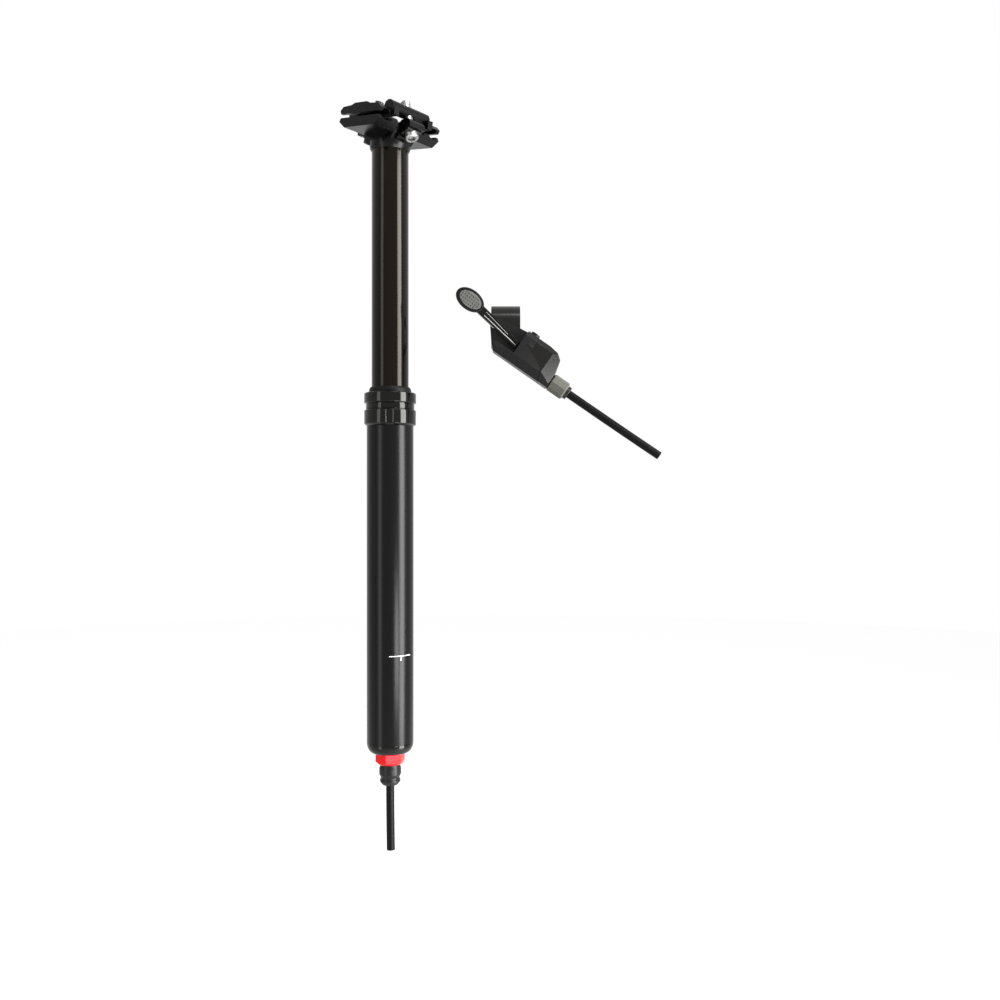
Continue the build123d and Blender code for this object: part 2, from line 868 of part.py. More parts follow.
with BuildPart() as valve_cap:
    rod(Plane.XY.offset(valve_hex_top), valve_cap_diameter / 2, valve_cap_height)
    chamfer(valve_cap.edges().group_by(Axis.Z)[-1], valve_hex_height / 2)
save(valve_cap, "valve_cap")

# Cradle: a half-round bridge in the trough and a wing beside it with the lower jaw of each rail
half_jaw = jaw_length / 2
wing_inner = seat_half_width + wing_gap
with BuildPart() as cradle:
    with BuildSketch(clamp_side) as bridge:
        Circle(cradle_radius)
        with Locations((0, cradle_radius - bridge_drop)):
            Rectangle(2 * cradle_radius + overrun, 2 * cradle_radius, mode=Mode.SUBTRACT)
    extrude(bridge.sketch, amount=wing_inner + jaw_split, both=True)
    with BuildSketch(clamp_side) as lower_jaw:
        with BuildLine():
            Polyline(
                (-half_jaw + jaw_split, -jaw_split),
                (half_jaw - jaw_split, -jaw_split),
                (half_jaw, -lower_jaw_tip),
                (half_jaw - lower_jaw_taper, -lower_jaw_depth),
                (-half_jaw + lower_jaw_taper, -lower_jaw_depth),
                (-half_jaw, -lower_jaw_tip),
                close=True,
            )
        make_face()
    for side in (1, -1):
        extrude(
            lower_jaw.sketch.moved(Location((0, side * wing_inner, 0))),
            amount=-side * (jaw_outer - wing_inner),
        )
    for side in (1, -1):
        rail_groove(side)
    rod(Plane.XY.offset(stanchion_top), window_diameter / 2, 2 * tilt_rise, Mode.SUBTRACT)
save(cradle, "cradle")

# Upper clamps: one over each rail, with an inner flange that carries the barrel nuts
upper_outline = [
    (-half_jaw + jaw_split, jaw_split),
    (half_jaw - jaw_split, jaw_split),
    (half_jaw, upper_jaw_tip),
    (half_jaw - tip_slope_length, upper_jaw_shoulder),
    (crown_half_length + crown_slope_length, upper_jaw_step),
    (crown_half_length, upper_jaw_crown),
    (-crown_half_length, upper_jaw_crown),
    (-crown_half_length - crown_slope_length, upper_jaw_step),
    (-half_jaw + tip_slope_length, upper_jaw_shoulder),
    (-half_jaw, upper_jaw_tip),
]
nut_radius = nut_diameter / 2
flange_end = nut_reach + nut_radius + running_gap + flange_margin
flange_outline = [
    (-flange_end, jaw_split),
    (flange_end, jaw_split),
    (flange_end, flange_shoulder),
    (crown_half_length + crown_slope_length, flange_shoulder),
    (crown_half_length, upper_jaw_crown),
    (-crown_half_length, upper_jaw_crown),
    (-crown_half_length - crown_slope_length, flange_shoulder),
    (-flange_end, flange_shoulder),
]
for side, label in ((1, "upper_clamp_left"), (-1, "upper_clamp_right")):
    with BuildPart() as upper_clamp:
        near, far = sorted((-side * jaw_inner, -side * jaw_outer))
        plate(clamp_side, upper_outline, near, far)
        near, far = sorted((-side * flange_inner, -side * (nut_half_length + seat_gap)))
        plate(clamp_side, flange_outline, near, far)
        for centre in nut_centres:
            cross_rod(centre, nut_radius + running_gap, nut_half_length + seat_gap, Mode.SUBTRACT)
        rail_groove(side)
    save(upper_clamp, label)

# Bolts with a hexagon socket, half-round washers in the ears, and barrel nuts
bolt_names = ["front", "rear"]
past_nut = [front_bolt_past_nut, rear_bolt_past_nut]
for index, name in enumerate(bolt_names):
    reach = (nut_centres[index] - bolt_feet[index]).length
    with BuildPart() as bolt:
        head_place = along_bolt(index, -bolt_washer_seat - bolt_head_height)
        rod(head_place, bolt_head_diameter / 2, bolt_head_height)
        rod(
            along_bolt(index, -bolt_washer_seat),
            bolt_diameter / 2,
            bolt_washer_seat + reach + past_nut[index],
        )
        ends = bolt.edges().filter_by(GeomType.CIRCLE).sort_by(Axis.Z)
        chamfer([ends[0], ends[-1]], bolt_chamfer)
        prism(head_place, socket_across / math.cos(math.pi / 6), 6, socket_depth, Mode.SUBTRACT)
    save(bolt, f"{name}_bolt")

    with BuildPart() as washer:
        cross_rod(bolt_feet[index], bolt_washer_radius, bolt_washer_half_width)
        bar(
            along_bolt(index, -bolt_washer_seat),
            (-bolt_washer_half_width - overrun, bolt_washer_half_width + overrun),
            (-bolt_washer_radius - overrun, bolt_washer_radius + overrun),
            (-bolt_washer_radius - overrun, 0),
            Mode.SUBTRACT,
        )
        rod(
            along_bolt(index, -2 * bolt_washer_radius),
            bolt_diameter / 2 + seat_gap,
            4 * bolt_washer_radius,
            Mode.SUBTRACT,
        )
    save(washer, f"{name}_bolt_washer")

    with BuildPart() as nut:
        cross_rod(nut_centres[index], nut_radius, nut_half_length)
        chamfer(nut.edges().filter_by(GeomType.CIRCLE), bolt_chamfer)
        rod(
            along_bolt(index, reach - nut_diameter),
            bolt_diameter / 2 + thread_gap,
            2 * nut_diameter,
            Mode.SUBTRACT,
        )
    save(nut, f"{name}_barrel_nut")

# Remote: u runs along the hose, n across it and up, w towards the one who looks at it
turn = math.radians(remote_turn)
drop = math.radians(remote_drop)
side_direction = Vector(math.cos(turn), math.sin(turn), 0)
hose_direction = side_direction * math.cos(drop) - Vector(0, 0, math.sin(drop))
remote = Plane(
    origin=side_direction * remote_side + Vector(0, 0, remote_height),
    x_dir=hose_direction,
    z_dir=(math.sin(turn), -math.cos(turn), 0),
)


def along_hose(u, n, w):
    """A place at this point of the remote that faces along the hose."""
    centre = remote.from_local_coords(Vector(u, n, w))
    return Plane(origin=centre, x_dir=remote.y_dir, z_dir=remote.x_dir)


def along_pin(u, n, w):
    """A place at this point of the remote that faces up the pivot pin."""
    centre = remote.from_local_coords(Vector(u, n, w))
    return Plane(origin=centre, x_dir=remote.x_dir, z_dir=remote.y_dir)


# Handlebar band: x runs level along the bar, y up, z towards the one who looks at it
band = Plane(
    origin=remote.from_local_coords(Vector(band_u, band_n, band_w)),
    x_dir=side_direction,
    z_dir=remote.z_dir,
)


def along_bar(x):
    """A place on the handlebar's axis that faces along it."""
    centre = band.from_local_coords(Vector(x, 0, 0))
    return Plane(origin=centre, x_dir=band.y_dir, z_dir=band.x_dir)


def along_band_bolt(y):
    """A place on the band bolt's axis that faces up it."""
    centre = band.from_local_coords(Vector(0, y, bolt_z))
    return Plane(origin=centre, x_dir=band.x_dir, z_dir=band.y_dir)


# Housing: three outlines, seen from the side, along the pin and along the hose, kept where they meet
piston_w = pivot_w - crank_reach
crank_face = pivot_u + crank_width / 2
piston_start = crank_face + push_rod_length
pocket_end = pivot_u + hub_radius + hub_margin
pocket_front = pivot_w + hub_radius + hub_margin
pocket_back = piston_w - crank_width / 2 - hub_margin
recess_end = pivot_u - hub_radius - hub_margin
recess_low = hub_low - hub_margin
recess_high = hub_high + hub_margin
band_outer = bar_diameter / 2 + bar_gap + band_wall
half_band = band_width / 2
lug_back = -band_outer - 2 * lug_half
bolt_z = lug_back + lug_half
neck_bore = hose_diameter / 2 + seat_gap
boss_top = body_top + pivot_boss_rise
pin_radius = pivot_diameter / 2
side_outline = [
    (-body_left, body_left_rise),
    (body_left / 2, -body_low / 2),
    (body_foot, -body_low),
    (body_end, -body_low),
    (body_end, body_low),
    (body_end - body_round, body_top - 2 * body_round),
    (body_end - 3 * body_round, body_top - body_round / 2),
    (body_end - 6 * body_round, body_top),
    (pivot_u - pivot_boss_diameter, body_top),
    (band_u, body_top - body_round),
    (-body_left, body_top - 2 * body_round),
]
top_outline = [
    (-body_left, body_back),
    (-body_left, -body_shelf),
    (body_foot, -body_front + body_round),
    (recess_end, -body_front),
    (body_end - 4 * body_round, -body_front),
    (body_end, -dial_across / 2),
    (body_end, dial_across / 2),
    (body_end - 2 * body_round, body_back),
]
end_outline = [
    (-body_low, -body_back + cover_facet),
    (-body_low + cover_facet, -body_back),
    (body_top - cover_facet, -body_back),
    (body_top, -body_back + cover_facet),
    (body_top, body_front - cover_facet),
    (body_top - cover_facet, body_front),
    (-body_low + low_facet, body_front),
    (-body_low, body_front - low_facet),
]
# A short screw holds the handlebar band to the housing, and the bleed screw is in the back
screw_head_height = (mount_screw_head - mount_screw_diameter) / 2
screw_side = mount_screw_drop - mount_screw_head / 2
screw_reach = math.sqrt((bar_diameter / 2 + bar_gap) ** 2 - screw_side**2)
screw_foot = band.offset(screw_reach + screw_head_height)
screw_foot.origin = screw_foot.from_local_coords(Vector(0, -mount_screw_drop, 0))
bleed_place = remote.offset(-body_back - overrun)
bleed_place.origin = bleed_place.from_local_coords(Vector(bleed_u, bleed_n, 0))
# The cover is the front of the housing right of this slanting seam
seam_outline = [
    (pivot_u + pivot_boss_diameter / 2 + seam_gap, body_top + overrun),
    (pivot_u + pivot_boss_diameter / 2 + seam_gap, recess_high),
    (pivot_u - seam_gap, recess_high),
    (body_end - 5 * body_round, body_left / 2),
    (body_end - 3 * body_round, -body_low - overrun),
    (body_end + overrun, -body_low - overrun),
    (body_end + overrun, body_top + overrun),
]


def housing():
    """The whole outer form of the remote, before its cover is parted from it."""
    plate(remote, side_outline, -body_back, body_front)
    plate(along_pin(0, 0, 0), top_outline, -body_low - overrun, body_top + overrun, Mode.INTERSECT)
    plate(
        along_hose(0, 0, 0), end_outline, -body_left - overrun, body_end + overrun, Mode.INTERSECT
    )


def hollows():
    """Cut the room that the paddle's hub, its crank and its arm move in."""
    hub_rows = (recess_low, recess_high)
    pocket_depth = (pocket_back, pocket_front)
    bar(remote, (recess_end - overrun, pocket_end), hub_rows, pocket_depth, Mode.SUBTRACT)
    bar(
        remote,
        (-body_left - overrun, recess_end),
        (recess_low, body_top + overrun),
        (body_shelf, body_front + overrun),
        Mode.SUBTRACT,
    )


with BuildPart() as remote_body:
    housing()
    boss_radius_top = pivot_boss_diameter / 2
    rod(along_pin(pivot_u, recess_high, pivot_w), boss_radius_top, boss_top - recess_high)
    plate(remote, seam_outline, cover_back, body_front + overrun, Mode.SUBTRACT)
    hollows()
    rod(
        along_hose(pocket_end - overrun, cylinder_n, piston_w),
        cylinder_radius + running_gap,
        cylinder_end - pocket_end + overrun,
        Mode.SUBTRACT,
    )
    rod(
        along_pin(pivot_u, pivot_low, pivot_w),
        pin_radius + seat_gap,
        boss_top - pivot_low + overrun,
        Mode.SUBTRACT,
    )
    rod(
        along_bar(-half_band - 4 * overrun),
        band_outer + seat_gap,
        band_width + 4 * overrun + seat_gap,
        Mode.SUBTRACT,
    )
    rod(along_bar(0), bar_diameter / 2 + free_gap, body_end, Mode.SUBTRACT)
    rod(along_hose(body_end, 0, 0), dial_bore / 2 - running_gap, dial_length)
    rod(along_hose(body_end - overrun, 0, 0), neck_bore, dial_length + 2 * overrun, Mode.SUBTRACT)
    rod(screw_foot, mount_screw_diameter / 2 + seat_gap, mount_screw_length, Mode.SUBTRACT)
    rod(bleed_place, bleed_diameter / 2 + seat_gap, bleed_length + overrun, Mode.SUBTRACT)
save(remote_body, "remote_body")

with BuildPart() as remote_cover:
    housing()
    plate(
        remote,
        seam_outline,
        cover_back + cover_gap,
        body_front + overrun,
        Mode.INTERSECT,
    )
    hollows()
save(remote_cover, "remote_cover")

# Handlebar band: an open ring with two lugs at its back, pinched by one bolt
with BuildPart() as bar_band:
    rod(along_bar(-half_band), band_outer, band_width)
    bar(band, (-half_band, half_band), (-lug_depth, lug_depth), (lug_back, 0))
    rod(
        along_bar(-half_band - overrun),
        bar_diameter / 2 + bar_gap,
        band_width + 2 * overrun,
        Mode.SUBTRACT,
    )
    bar(
        band,
        (-half_band - overrun, half_band + overrun),
        (-band_split, band_split),
        (lug_back - overrun, 0),
        Mode.SUBTRACT,
    )
    lug_corners = bar_band.edges().filter_by(Axis(band.origin, band.x_dir)).sort_by(
        Axis(band.origin, band.z_dir)
    )
    chamfer(lug_corners[:4].sort_by(Axis(band.origin, band.y_dir))[::3], lug_half / 3)
    rod(
        along_band_bolt(-lug_depth - overrun),
        band_bolt_diameter / 2 + seat_gap,
        2 * lug_depth + 2 * overrun,
        Mode.SUBTRACT,
    )
    rod(screw_foot.offset(-overrun), mount_screw_diameter / 2 + seat_gap, 2 * band_wall, Mode.SUBTRACT)
    rod(screw_foot.offset(-band_wall), mount_screw_head / 2 + seat_gap, band_wall, Mode.SUBTRACT)
save(bar_band, "bar_band")

with BuildPart() as band_bolt:
    rod(along_band_bolt(-lug_depth), band_bolt_diameter / 2, 2 * lug_depth)
    rod(along_band_bolt(lug_depth), band_bolt_head_diameter / 2, band_bolt_head_height)
    chamfer(
        band_bolt.faces().sort_by(Axis(band.origin, band.y_dir))[-1].edges(),
        band_bolt_head_height / 6,
    )
    prism(
        along_band_bolt(lug_depth + band_bolt_head_height - band_socket_depth),
        band_socket_across / math.cos(math.pi / 6),
        6,
        band_socket_depth + overrun,
        Mode.SUBTRACT,
    )
save(band_bolt, "band_bolt")

with BuildPart() as band_screw:
    rod(screw_foot, mount_screw_diameter / 2, mount_screw_length)
    rod(screw_foot.offset(-screw_head_height), mount_screw_head / 2, screw_head_height)
save(band_screw, "band_screw")

# Pivot pin through the housing, and the bushing that the paddle turns on
with BuildPart() as pivot_pin:
    rod(along_pin(pivot_u, pivot_low, pivot_w), pin_radius, boss_top - pivot_low)
save(pivot_pin, "pivot_pin")

bushing_wall = (hub_radius - pin_radius) / 3
bushing_radius = pin_radius + running_gap + bushing_wall
with BuildPart() as pivot_bushing:
    rod(along_pin(pivot_u, hub_low, pivot_w), bushing_radius, hub_high - hub_low)
    rod(
        along_pin(pivot_u, hub_low - overrun, pivot_w),
        pin_radius + running_gap,
        hub_high - hub_low + 2 * overrun,
        Mode.SUBTRACT,
    )
save(pivot_bushing, "pivot_bushing")

# Paddle: hub, crank, channelled arm and oval blade. a runs out along the arm, b down across it.
arm_out = math.radians(arm_out_angle)
arm_n = (hub_low + hub_high) / 2
arm = Plane(
    origin=remote.from_local_coords(Vector(pivot_u, arm_n, pivot_w)),
    x_dir=remote.z_dir * math.sin(arm_out) - remote.x_dir * math.cos(arm_out),
    z_dir=remote.z_dir * math.cos(arm_out) + remote.x_dir * math.sin(arm_out),
)
blade_a = (pivot_u - paddle_u) / math.cos(arm_out)
blade_b = arm_n - paddle_n
neck_a = blade_a - paddle_length / 2 - arm_height / 2
neck_b = blade_b + arm_height / 4
arm_outline = [
    (0, -arm_height / 3),
    (neck_a, neck_b - arm_height / 2),
    (blade_a, blade_b - arm_height / 2),
    (blade_a, blade_b + arm_height / 2),
    (neck_a, neck_b + arm_height / 2),
    (0, arm_height / 3),
]
channel_start = hub_radius + arm_height / 2
channel_rise = neck_b * channel_start / neck_a
channel_half = arm_channel_width / 2
channel_outline = [
    (channel_start, channel_rise - channel_half / 2),
    (neck_a, neck_b - channel_half),
    (neck_a, neck_b + channel_half),
    (channel_start, channel_rise + channel_half / 2),
]
arm_face = arm_thickness / 2
with BuildPart() as blade:
    with BuildSketch(arm.offset(-paddle_thickness / 2)):
        with Locations((blade_a, blade_b)):
            Ellipse(paddle_length / 2, paddle_height / 2)
    extrude(amount=paddle_thickness)
    chamfer(blade.edges().filter_by(GeomType.ELLIPSE), paddle_thickness / 4)

with BuildPart() as paddle_arm:
    rod(along_pin(pivot_u, hub_low, pivot_w), hub_radius, hub_high - hub_low)
    bar(
        remote,
        (pivot_u - crank_width / 2, crank_face),
        (cylinder_n - crank_height / 2, cylinder_n + crank_height / 2),
        (piston_w - crank_width / 2, pivot_w),
    )
    plate(arm, arm_outline, -arm_face, arm_face)
    add(blade.part)
    with BuildSketch(arm.offset(paddle_thickness / 2 - pad_depth)) as pad_recess:
        with Locations((blade_a, blade_b)):
            Ellipse(pad_length / 2 + seat_gap, pad_height / 2 + seat_gap)
    extrude(pad_recess.sketch, amount=pad_depth + overrun, mode=Mode.SUBTRACT)
    plate(arm, channel_outline, arm_face - arm_channel_depth, arm_face + overrun, Mode.SUBTRACT)
    rod(
        along_pin(pivot_u, hub_low - overrun, pivot_w),
        bushing_radius + seat_gap,
        hub_high - hub_low + 2 * overrun,
        Mode.SUBTRACT,
    )
save(paddle_arm, "paddle_arm")

with BuildPart() as paddle_pad:
    with BuildSketch(arm.offset(paddle_thickness / 2 - pad_depth)) as pad:
        with Locations((blade_a, blade_b)):
            Ellipse(pad_length / 2, pad_height / 2)
    extrude(pad.sketch, amount=pad_thickness)
save(paddle_pad, "paddle_pad")

# Master piston with its dome-ended push rod, its seal and its return spring
seal_u = piston_start + (master_piston_length - master_seal_width) / 2
piston_end = piston_start + master_piston_length
seal_floor = cylinder_radius - master_seal_depth
rod_radius = push_rod_diameter / 2
dome_u = crank_face + rod_radius + seat_gap
with BuildPart() as master_piston:
    with Locations(along_hose(dome_u, cylinder_n, piston_w)):
        Sphere(rod_radius)
    rod(along_hose(dome_u, cylinder_n, piston_w), rod_radius, piston_start - dome_u)
    rod(along_hose(piston_start, cylinder_n, piston_w), cylinder_radius, master_piston_length)
    with BuildSketch(along_hose(seal_u, cylinder_n, piston_w)) as seal_groove:
        Circle(cylinder_radius + overrun)
        Circle(seal_floor, mode=Mode.SUBTRACT)
    extrude(seal_groove.sketch, amount=master_seal_width, mode=Mode.SUBTRACT)
save(master_piston, "master_piston")

with BuildPart() as master_seal:
    with BuildSketch(along_hose(seal_u, cylinder_n, piston_w)) as seal_ring:
        Circle(cylinder_radius)
        Circle(seal_floor + seat_gap, mode=Mode.SUBTRACT)
    extrude(seal_ring.sketch, amount=master_seal_width)
save(master_seal, "master_seal")

coil_radius = cylinder_radius - master_spring_wire
coil_length = cylinder_end - piston_end - master_spring_wire
with BuildPart() as master_spring:
    coil_place = along_hose(piston_end + master_spring_wire / 2, cylinder_n, piston_w)
    with BuildLine() as coil:
        Helix(
            coil_length / master_spring_turns,
            coil_length,
            coil_radius,
            center=coil_place.origin,
            direction=coil_place.z_dir,
        )
    with BuildSketch(coil.line ^ 0):
        Circle(master_spring_wire / 2)
    sweep(is_frenet=True)
save(master_spring, "master_spring")

with BuildPart() as bleed_screw:
    rod(bleed_place.offset(overrun), bleed_diameter / 2, bleed_length)
    prism(
        bleed_place.offset(overrun),
        band_socket_across / math.cos(math.pi / 6),
        6,
        band_socket_depth,
        Mode.SUBTRACT,
    )
save(bleed_screw, "bleed_screw")

# Speed dial: a faceted sleeve that turns on the housing's neck
dial_start = body_end + running_gap
with BuildPart() as speed_dial:
    prism(along_hose(dial_start, 0, 0), dial_across, dial_sides, dial_length)
    flat_faces = speed_dial.faces().sort_by(Axis(remote.origin, remote.x_dir))
    chamfer([flat_faces[0].edges(), flat_faces[-1].edges()], dial_chamfer)
    rod(
        along_hose(dial_start - overrun, 0, 0),
        dial_bore / 2,
        dial_length + 2 * overrun,
        Mode.SUBTRACT,
    )
save(speed_dial, "speed_dial")

# Ferrule that closes the neck round the hose
ferrule_u = dial_start + dial_length + running_gap
with BuildPart() as hose_ferrule:
    with BuildSketch(along_hose(ferrule_u, 0, 0)) as ferrule_ring:
        Circle(ferrule_flange_diameter / 2)
        Circle(neck_bore, mode=Mode.SUBTRACT)
    extrude(ferrule_ring.sketch, amount=ferrule_flange)
    chamfer(
        hose_ferrule.edges().filter_by(GeomType.CIRCLE).sort_by(Axis(remote.origin, remote.x_dir))[-1],
        ferrule_flange / 3,
    )
save(hose_ferrule, "hose_ferrule")

# Hose of the remote: straight out of the neck
hose_start = body_end + hose_seat
hose_end = ferrule_u + remote_hose_shown
with BuildPart() as remote_hose:
    route_points = [
        (hose_start, 0, 0),
        (hose_start + (hose_end - hose_start) / 2, 0, 0),
        (hose_end, hose_sag, 0),
    ]
    hose([tuple(remote.from_local_coords(Vector(*point))) for point in route_points])
save(remote_hose, "remote_hose")
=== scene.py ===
"""Telescoping seatpost with its thumb remote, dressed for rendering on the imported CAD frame."""

from __future__ import annotations

import json
import logging
import math
from dataclasses import dataclass, field
from enum import Enum

import bmesh
import bpy
from mathutils import Matrix, Vector


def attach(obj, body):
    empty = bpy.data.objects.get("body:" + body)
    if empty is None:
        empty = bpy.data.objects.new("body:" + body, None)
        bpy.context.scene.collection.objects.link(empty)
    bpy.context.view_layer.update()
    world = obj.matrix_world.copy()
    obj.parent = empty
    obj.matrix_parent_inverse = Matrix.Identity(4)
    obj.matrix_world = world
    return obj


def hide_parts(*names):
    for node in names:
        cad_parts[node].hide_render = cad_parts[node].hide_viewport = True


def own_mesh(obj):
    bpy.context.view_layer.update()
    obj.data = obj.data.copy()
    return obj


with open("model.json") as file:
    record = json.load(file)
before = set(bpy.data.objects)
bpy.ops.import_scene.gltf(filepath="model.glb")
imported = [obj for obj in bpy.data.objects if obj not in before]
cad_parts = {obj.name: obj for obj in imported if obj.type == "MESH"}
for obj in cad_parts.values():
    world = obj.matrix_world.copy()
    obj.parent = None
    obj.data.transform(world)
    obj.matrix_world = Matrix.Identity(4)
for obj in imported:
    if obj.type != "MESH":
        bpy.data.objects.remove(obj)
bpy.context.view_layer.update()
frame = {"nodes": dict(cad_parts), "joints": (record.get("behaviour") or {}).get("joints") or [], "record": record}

log = logging.getLogger("seatpost")

MM = 0.001
Colour = tuple[float, float, float]
Outline = list[tuple[float, float]]


class Body(Enum):
    """The CAD bodies that pieces ride on."""

    FIXED = "root"
    SLIDER = "sliding_post"
    CLAMP = "saddle_clamp"
    FRONT_BOLT = "front_bolt_set"
    REAR_BOLT = "rear_bolt_set"
    FRONT_NUT = "front_nut"
    REAR_NUT = "rear_nut"
    PADDLE = "paddle"
    DIAL = "dial"


class Grain(Enum):
    """The fine surface texture that a finish has."""

    BLASTED = "even grain of a blasted or cast surface"
    TURNED = "rings left by a lathe about the post's axis"
    DRAWN = "lines along the post's axis"
    MOULDED = "spark-eroded texture of a plastic mould"


# Node trees


class Graph:
    """A short way to lay out the nodes of a tree."""

    def __init__(self, tree: bpy.types.NodeTree) -> None:
        """Empty a tree and get ready to fill it.

        Args:
            tree: the node tree.
        """
        self.tree = tree
        tree.nodes.clear()

    def add(self, kind: str, **settings: object) -> bpy.types.Node:
        """Add a node and set its properties.

        Args:
            kind: the node's type name.
            settings: its properties by name.

        Returns:
            The new node.
        """
        node = self.tree.nodes.new(kind)
        for name, value in settings.items():
            setattr(node, name, value)
        return node

    def join(self, source: bpy.types.NodeSocket, target: bpy.types.NodeSocket) -> None:
        """Link an output to an input."""
        self.tree.links.new(source, target)

    def math(
        self, operation: str, first: bpy.types.NodeSocket, second: bpy.types.NodeSocket | float
    ) -> bpy.types.NodeSocket:
        """Work out a value from two others.

        Args:
            operation: the Math node's operation.
            first: where the first value comes from.
            second: the second value, or where it comes from.

        Returns:
            The result's socket.
        """
        node = self.add("ShaderNodeMath", operation=operation)
        self.join(first, node.inputs[0])
        if isinstance(second, float):
            node.inputs[1].default_value = second
        else:
            self.join(second, node.inputs[1])
        return node.outputs[0]

    def seen(self) -> bpy.types.NodeSocket:
        """1 for camera, glossy and transmission rays, which show a surface, and 0 for others."""
        rays = self.add("ShaderNodeLightPath").outputs
        direct = self.math("MAXIMUM", rays["Is Camera Ray"], rays["Is Glossy Ray"])
        return self.math("MAXIMUM", direct, rays["Is Transmission Ray"])


class NodeSheet(Graph):
    """The shader nodes of one new material."""

    def __init__(self, name: str) -> None:
        """Start the material.

        Args:
            name: the material's name.
        """
        self.material = bpy.data.materials.new(name)
        self.material.use_nodes = True
        super().__init__(self.material.node_tree)
        self.output = self.add("ShaderNodeOutputMaterial")

    def noise(self, vector: bpy.types.NodeSocket, scale: float, detail: float) -> bpy.types.Node:
        """Add a noise texture that reads this vector.

        Args:
            vector: where its coordinates come from.
            scale: waves to a metre.
            detail: how many finer octaves it has.

        Returns:
            The noise node.
        """
        node = self.add("ShaderNodeTexNoise")
        node.inputs["Scale"].default_value = scale
        node.inputs["Detail"].default_value = detail
        self.join(vector, node.inputs["Vector"])
        return node


# Finishes

PATCH_LEVELS = (0.3, 0.7)  # of the noise, where a patch is darkest and lightest
GRAIN_SCALE = {  # of the grain's pattern along x, y and the post: the smaller, the longer drawn
    Grain.BLASTED: (1.0, 1.0, 1.0),
    Grain.TURNED: (0.05, 0.05, 1.0),
    Grain.DRAWN: (1.0, 1.0, 0.02),
    Grain.MOULDED: (1.0, 1.0, 1.0),
}
PATCH_DETAIL = 3.0
GRAIN_DETAIL = 4.0
LEAST_ROUGHNESS = 0.02


@dataclass(frozen=True)
class Finish:
    """One surface finish: its colour, its gloss and its grain."""

    name: str
    colour: Colour
    roughness: float
    metallic: float = 0.0
    specular: float = 0.2
    tint: Colour = (1.0, 1.0, 1.0)
    grain: Grain = Grain.BLASTED
    grain_size: float = 0.35 * MM
    grain_depth: float = 0.006 * MM
    colour_spread: float = 0.12
    rough_spread: float = 0.06
    patch_size: float = 14 * MM

    def build(self) -> bpy.types.Material:
        """Make the material.

        Returns:
            The node-based material.
        """
        sheet = NodeSheet(self.name)
        shader = sheet.add("ShaderNodeBsdfPrincipled")
        shader.inputs["Metallic"].default_value = self.metallic
        shader.inputs["Specular IOR Level"].default_value = self.specular
        shader.inputs["Specular Tint"].default_value = (*self.tint, 1.0)
        sheet.join(shader.outputs["BSDF"], sheet.output.inputs["Surface"])

        place = sheet.add("ShaderNodeTexCoord").outputs["Object"]
        patches = sheet.noise(place, 1 / self.patch_size, PATCH_DETAIL)
        blend = sheet.add("ShaderNodeValToRGB")
        for element, level, sign in zip(blend.color_ramp.elements, PATCH_LEVELS, (-1, 1)):
            element.position = level
            shade = 1 + sign * self.colour_spread
            element.color = (*(min(1.0, part * shade) for part in self.colour), 1.0)
        sheet.join(patches.outputs["Fac"], blend.inputs["Fac"])
        sheet.join(blend.outputs["Color"], shader.inputs["Base Color"])

        squeezed = sheet.add("ShaderNodeMapping")
        squeezed.inputs["Scale"].default_value = GRAIN_SCALE[self.grain]
        sheet.join(place, squeezed.inputs["Vector"])
        if self.grain is Grain.MOULDED:
            fine = sheet.add("ShaderNodeTexVoronoi", feature="SMOOTH_F1")
            fine.inputs["Scale"].default_value = 1 / self.grain_size
            sheet.join(squeezed.outputs["Vector"], fine.inputs["Vector"])
            height = fine.outputs["Distance"]
        else:
            fine = sheet.noise(squeezed.outputs["Vector"], 1 / self.grain_size, GRAIN_DETAIL)
            height = fine.outputs["Fac"]
        gloss = sheet.add("ShaderNodeMapRange")
        smoothest = max(LEAST_ROUGHNESS, self.roughness - self.rough_spread)
        gloss.inputs["To Min"].default_value = smoothest
        gloss.inputs["To Max"].default_value = self.roughness + self.rough_spread
        sheet.join(height, gloss.inputs["Value"])
        sheet.join(gloss.outputs["Result"], shader.inputs["Roughness"])
        bump = sheet.add("ShaderNodeBump")
        bump.inputs["Distance"].default_value = self.grain_depth
        sheet.join(height, bump.inputs["Height"])
        sheet.join(bump.outputs["Normal"], shader.inputs["Normal"])
        return sheet.material


BLACK_ANODISED = Finish(
    "black_anodised", (0.0015, 0.001, 0.0006), 0.12, specular=0.14, tint=(1.0, 0.9, 0.8),
    grain=Grain.DRAWN, grain_size=0.5 * MM, grain_depth=0.001 * MM, rough_spread=0.03,
)
SATIN_BLACK = Finish(
    "satin_black", (0.0015, 0.0015, 0.0015), 0.24, specular=0.13,
    grain_size=0.3 * MM, grain_depth=0.003 * MM, rough_spread=0.04,
)
COLLAR_BLACK = Finish(
    "collar_black", (0.001, 0.001, 0.0009), 0.09, specular=0.2, tint=(1.0, 0.99, 0.93),
    grain=Grain.TURNED, grain_size=0.4 * MM, grain_depth=0.002 * MM, rough_spread=0.03,
)
FORGED_BLACK = Finish(
    "forged_black", (0.0015, 0.0015, 0.0015), 0.26, specular=0.12,
    grain_size=0.45 * MM, grain_depth=0.012 * MM, rough_spread=0.07,
)
BRIGHT_STEEL = Finish(
    "bright_steel", (0.34, 0.34, 0.335), 0.32, metallic=1.0, specular=0.5,
    grain_size=0.25 * MM, grain_depth=0.002 * MM, colour_spread=0.06, rough_spread=0.06,
)
DARK_STEEL = Finish(
    "dark_steel", (0.035, 0.034, 0.033), 0.28, metallic=1.0, specular=0.5,
    grain_size=0.3 * MM, grain_depth=0.003 * MM,
)
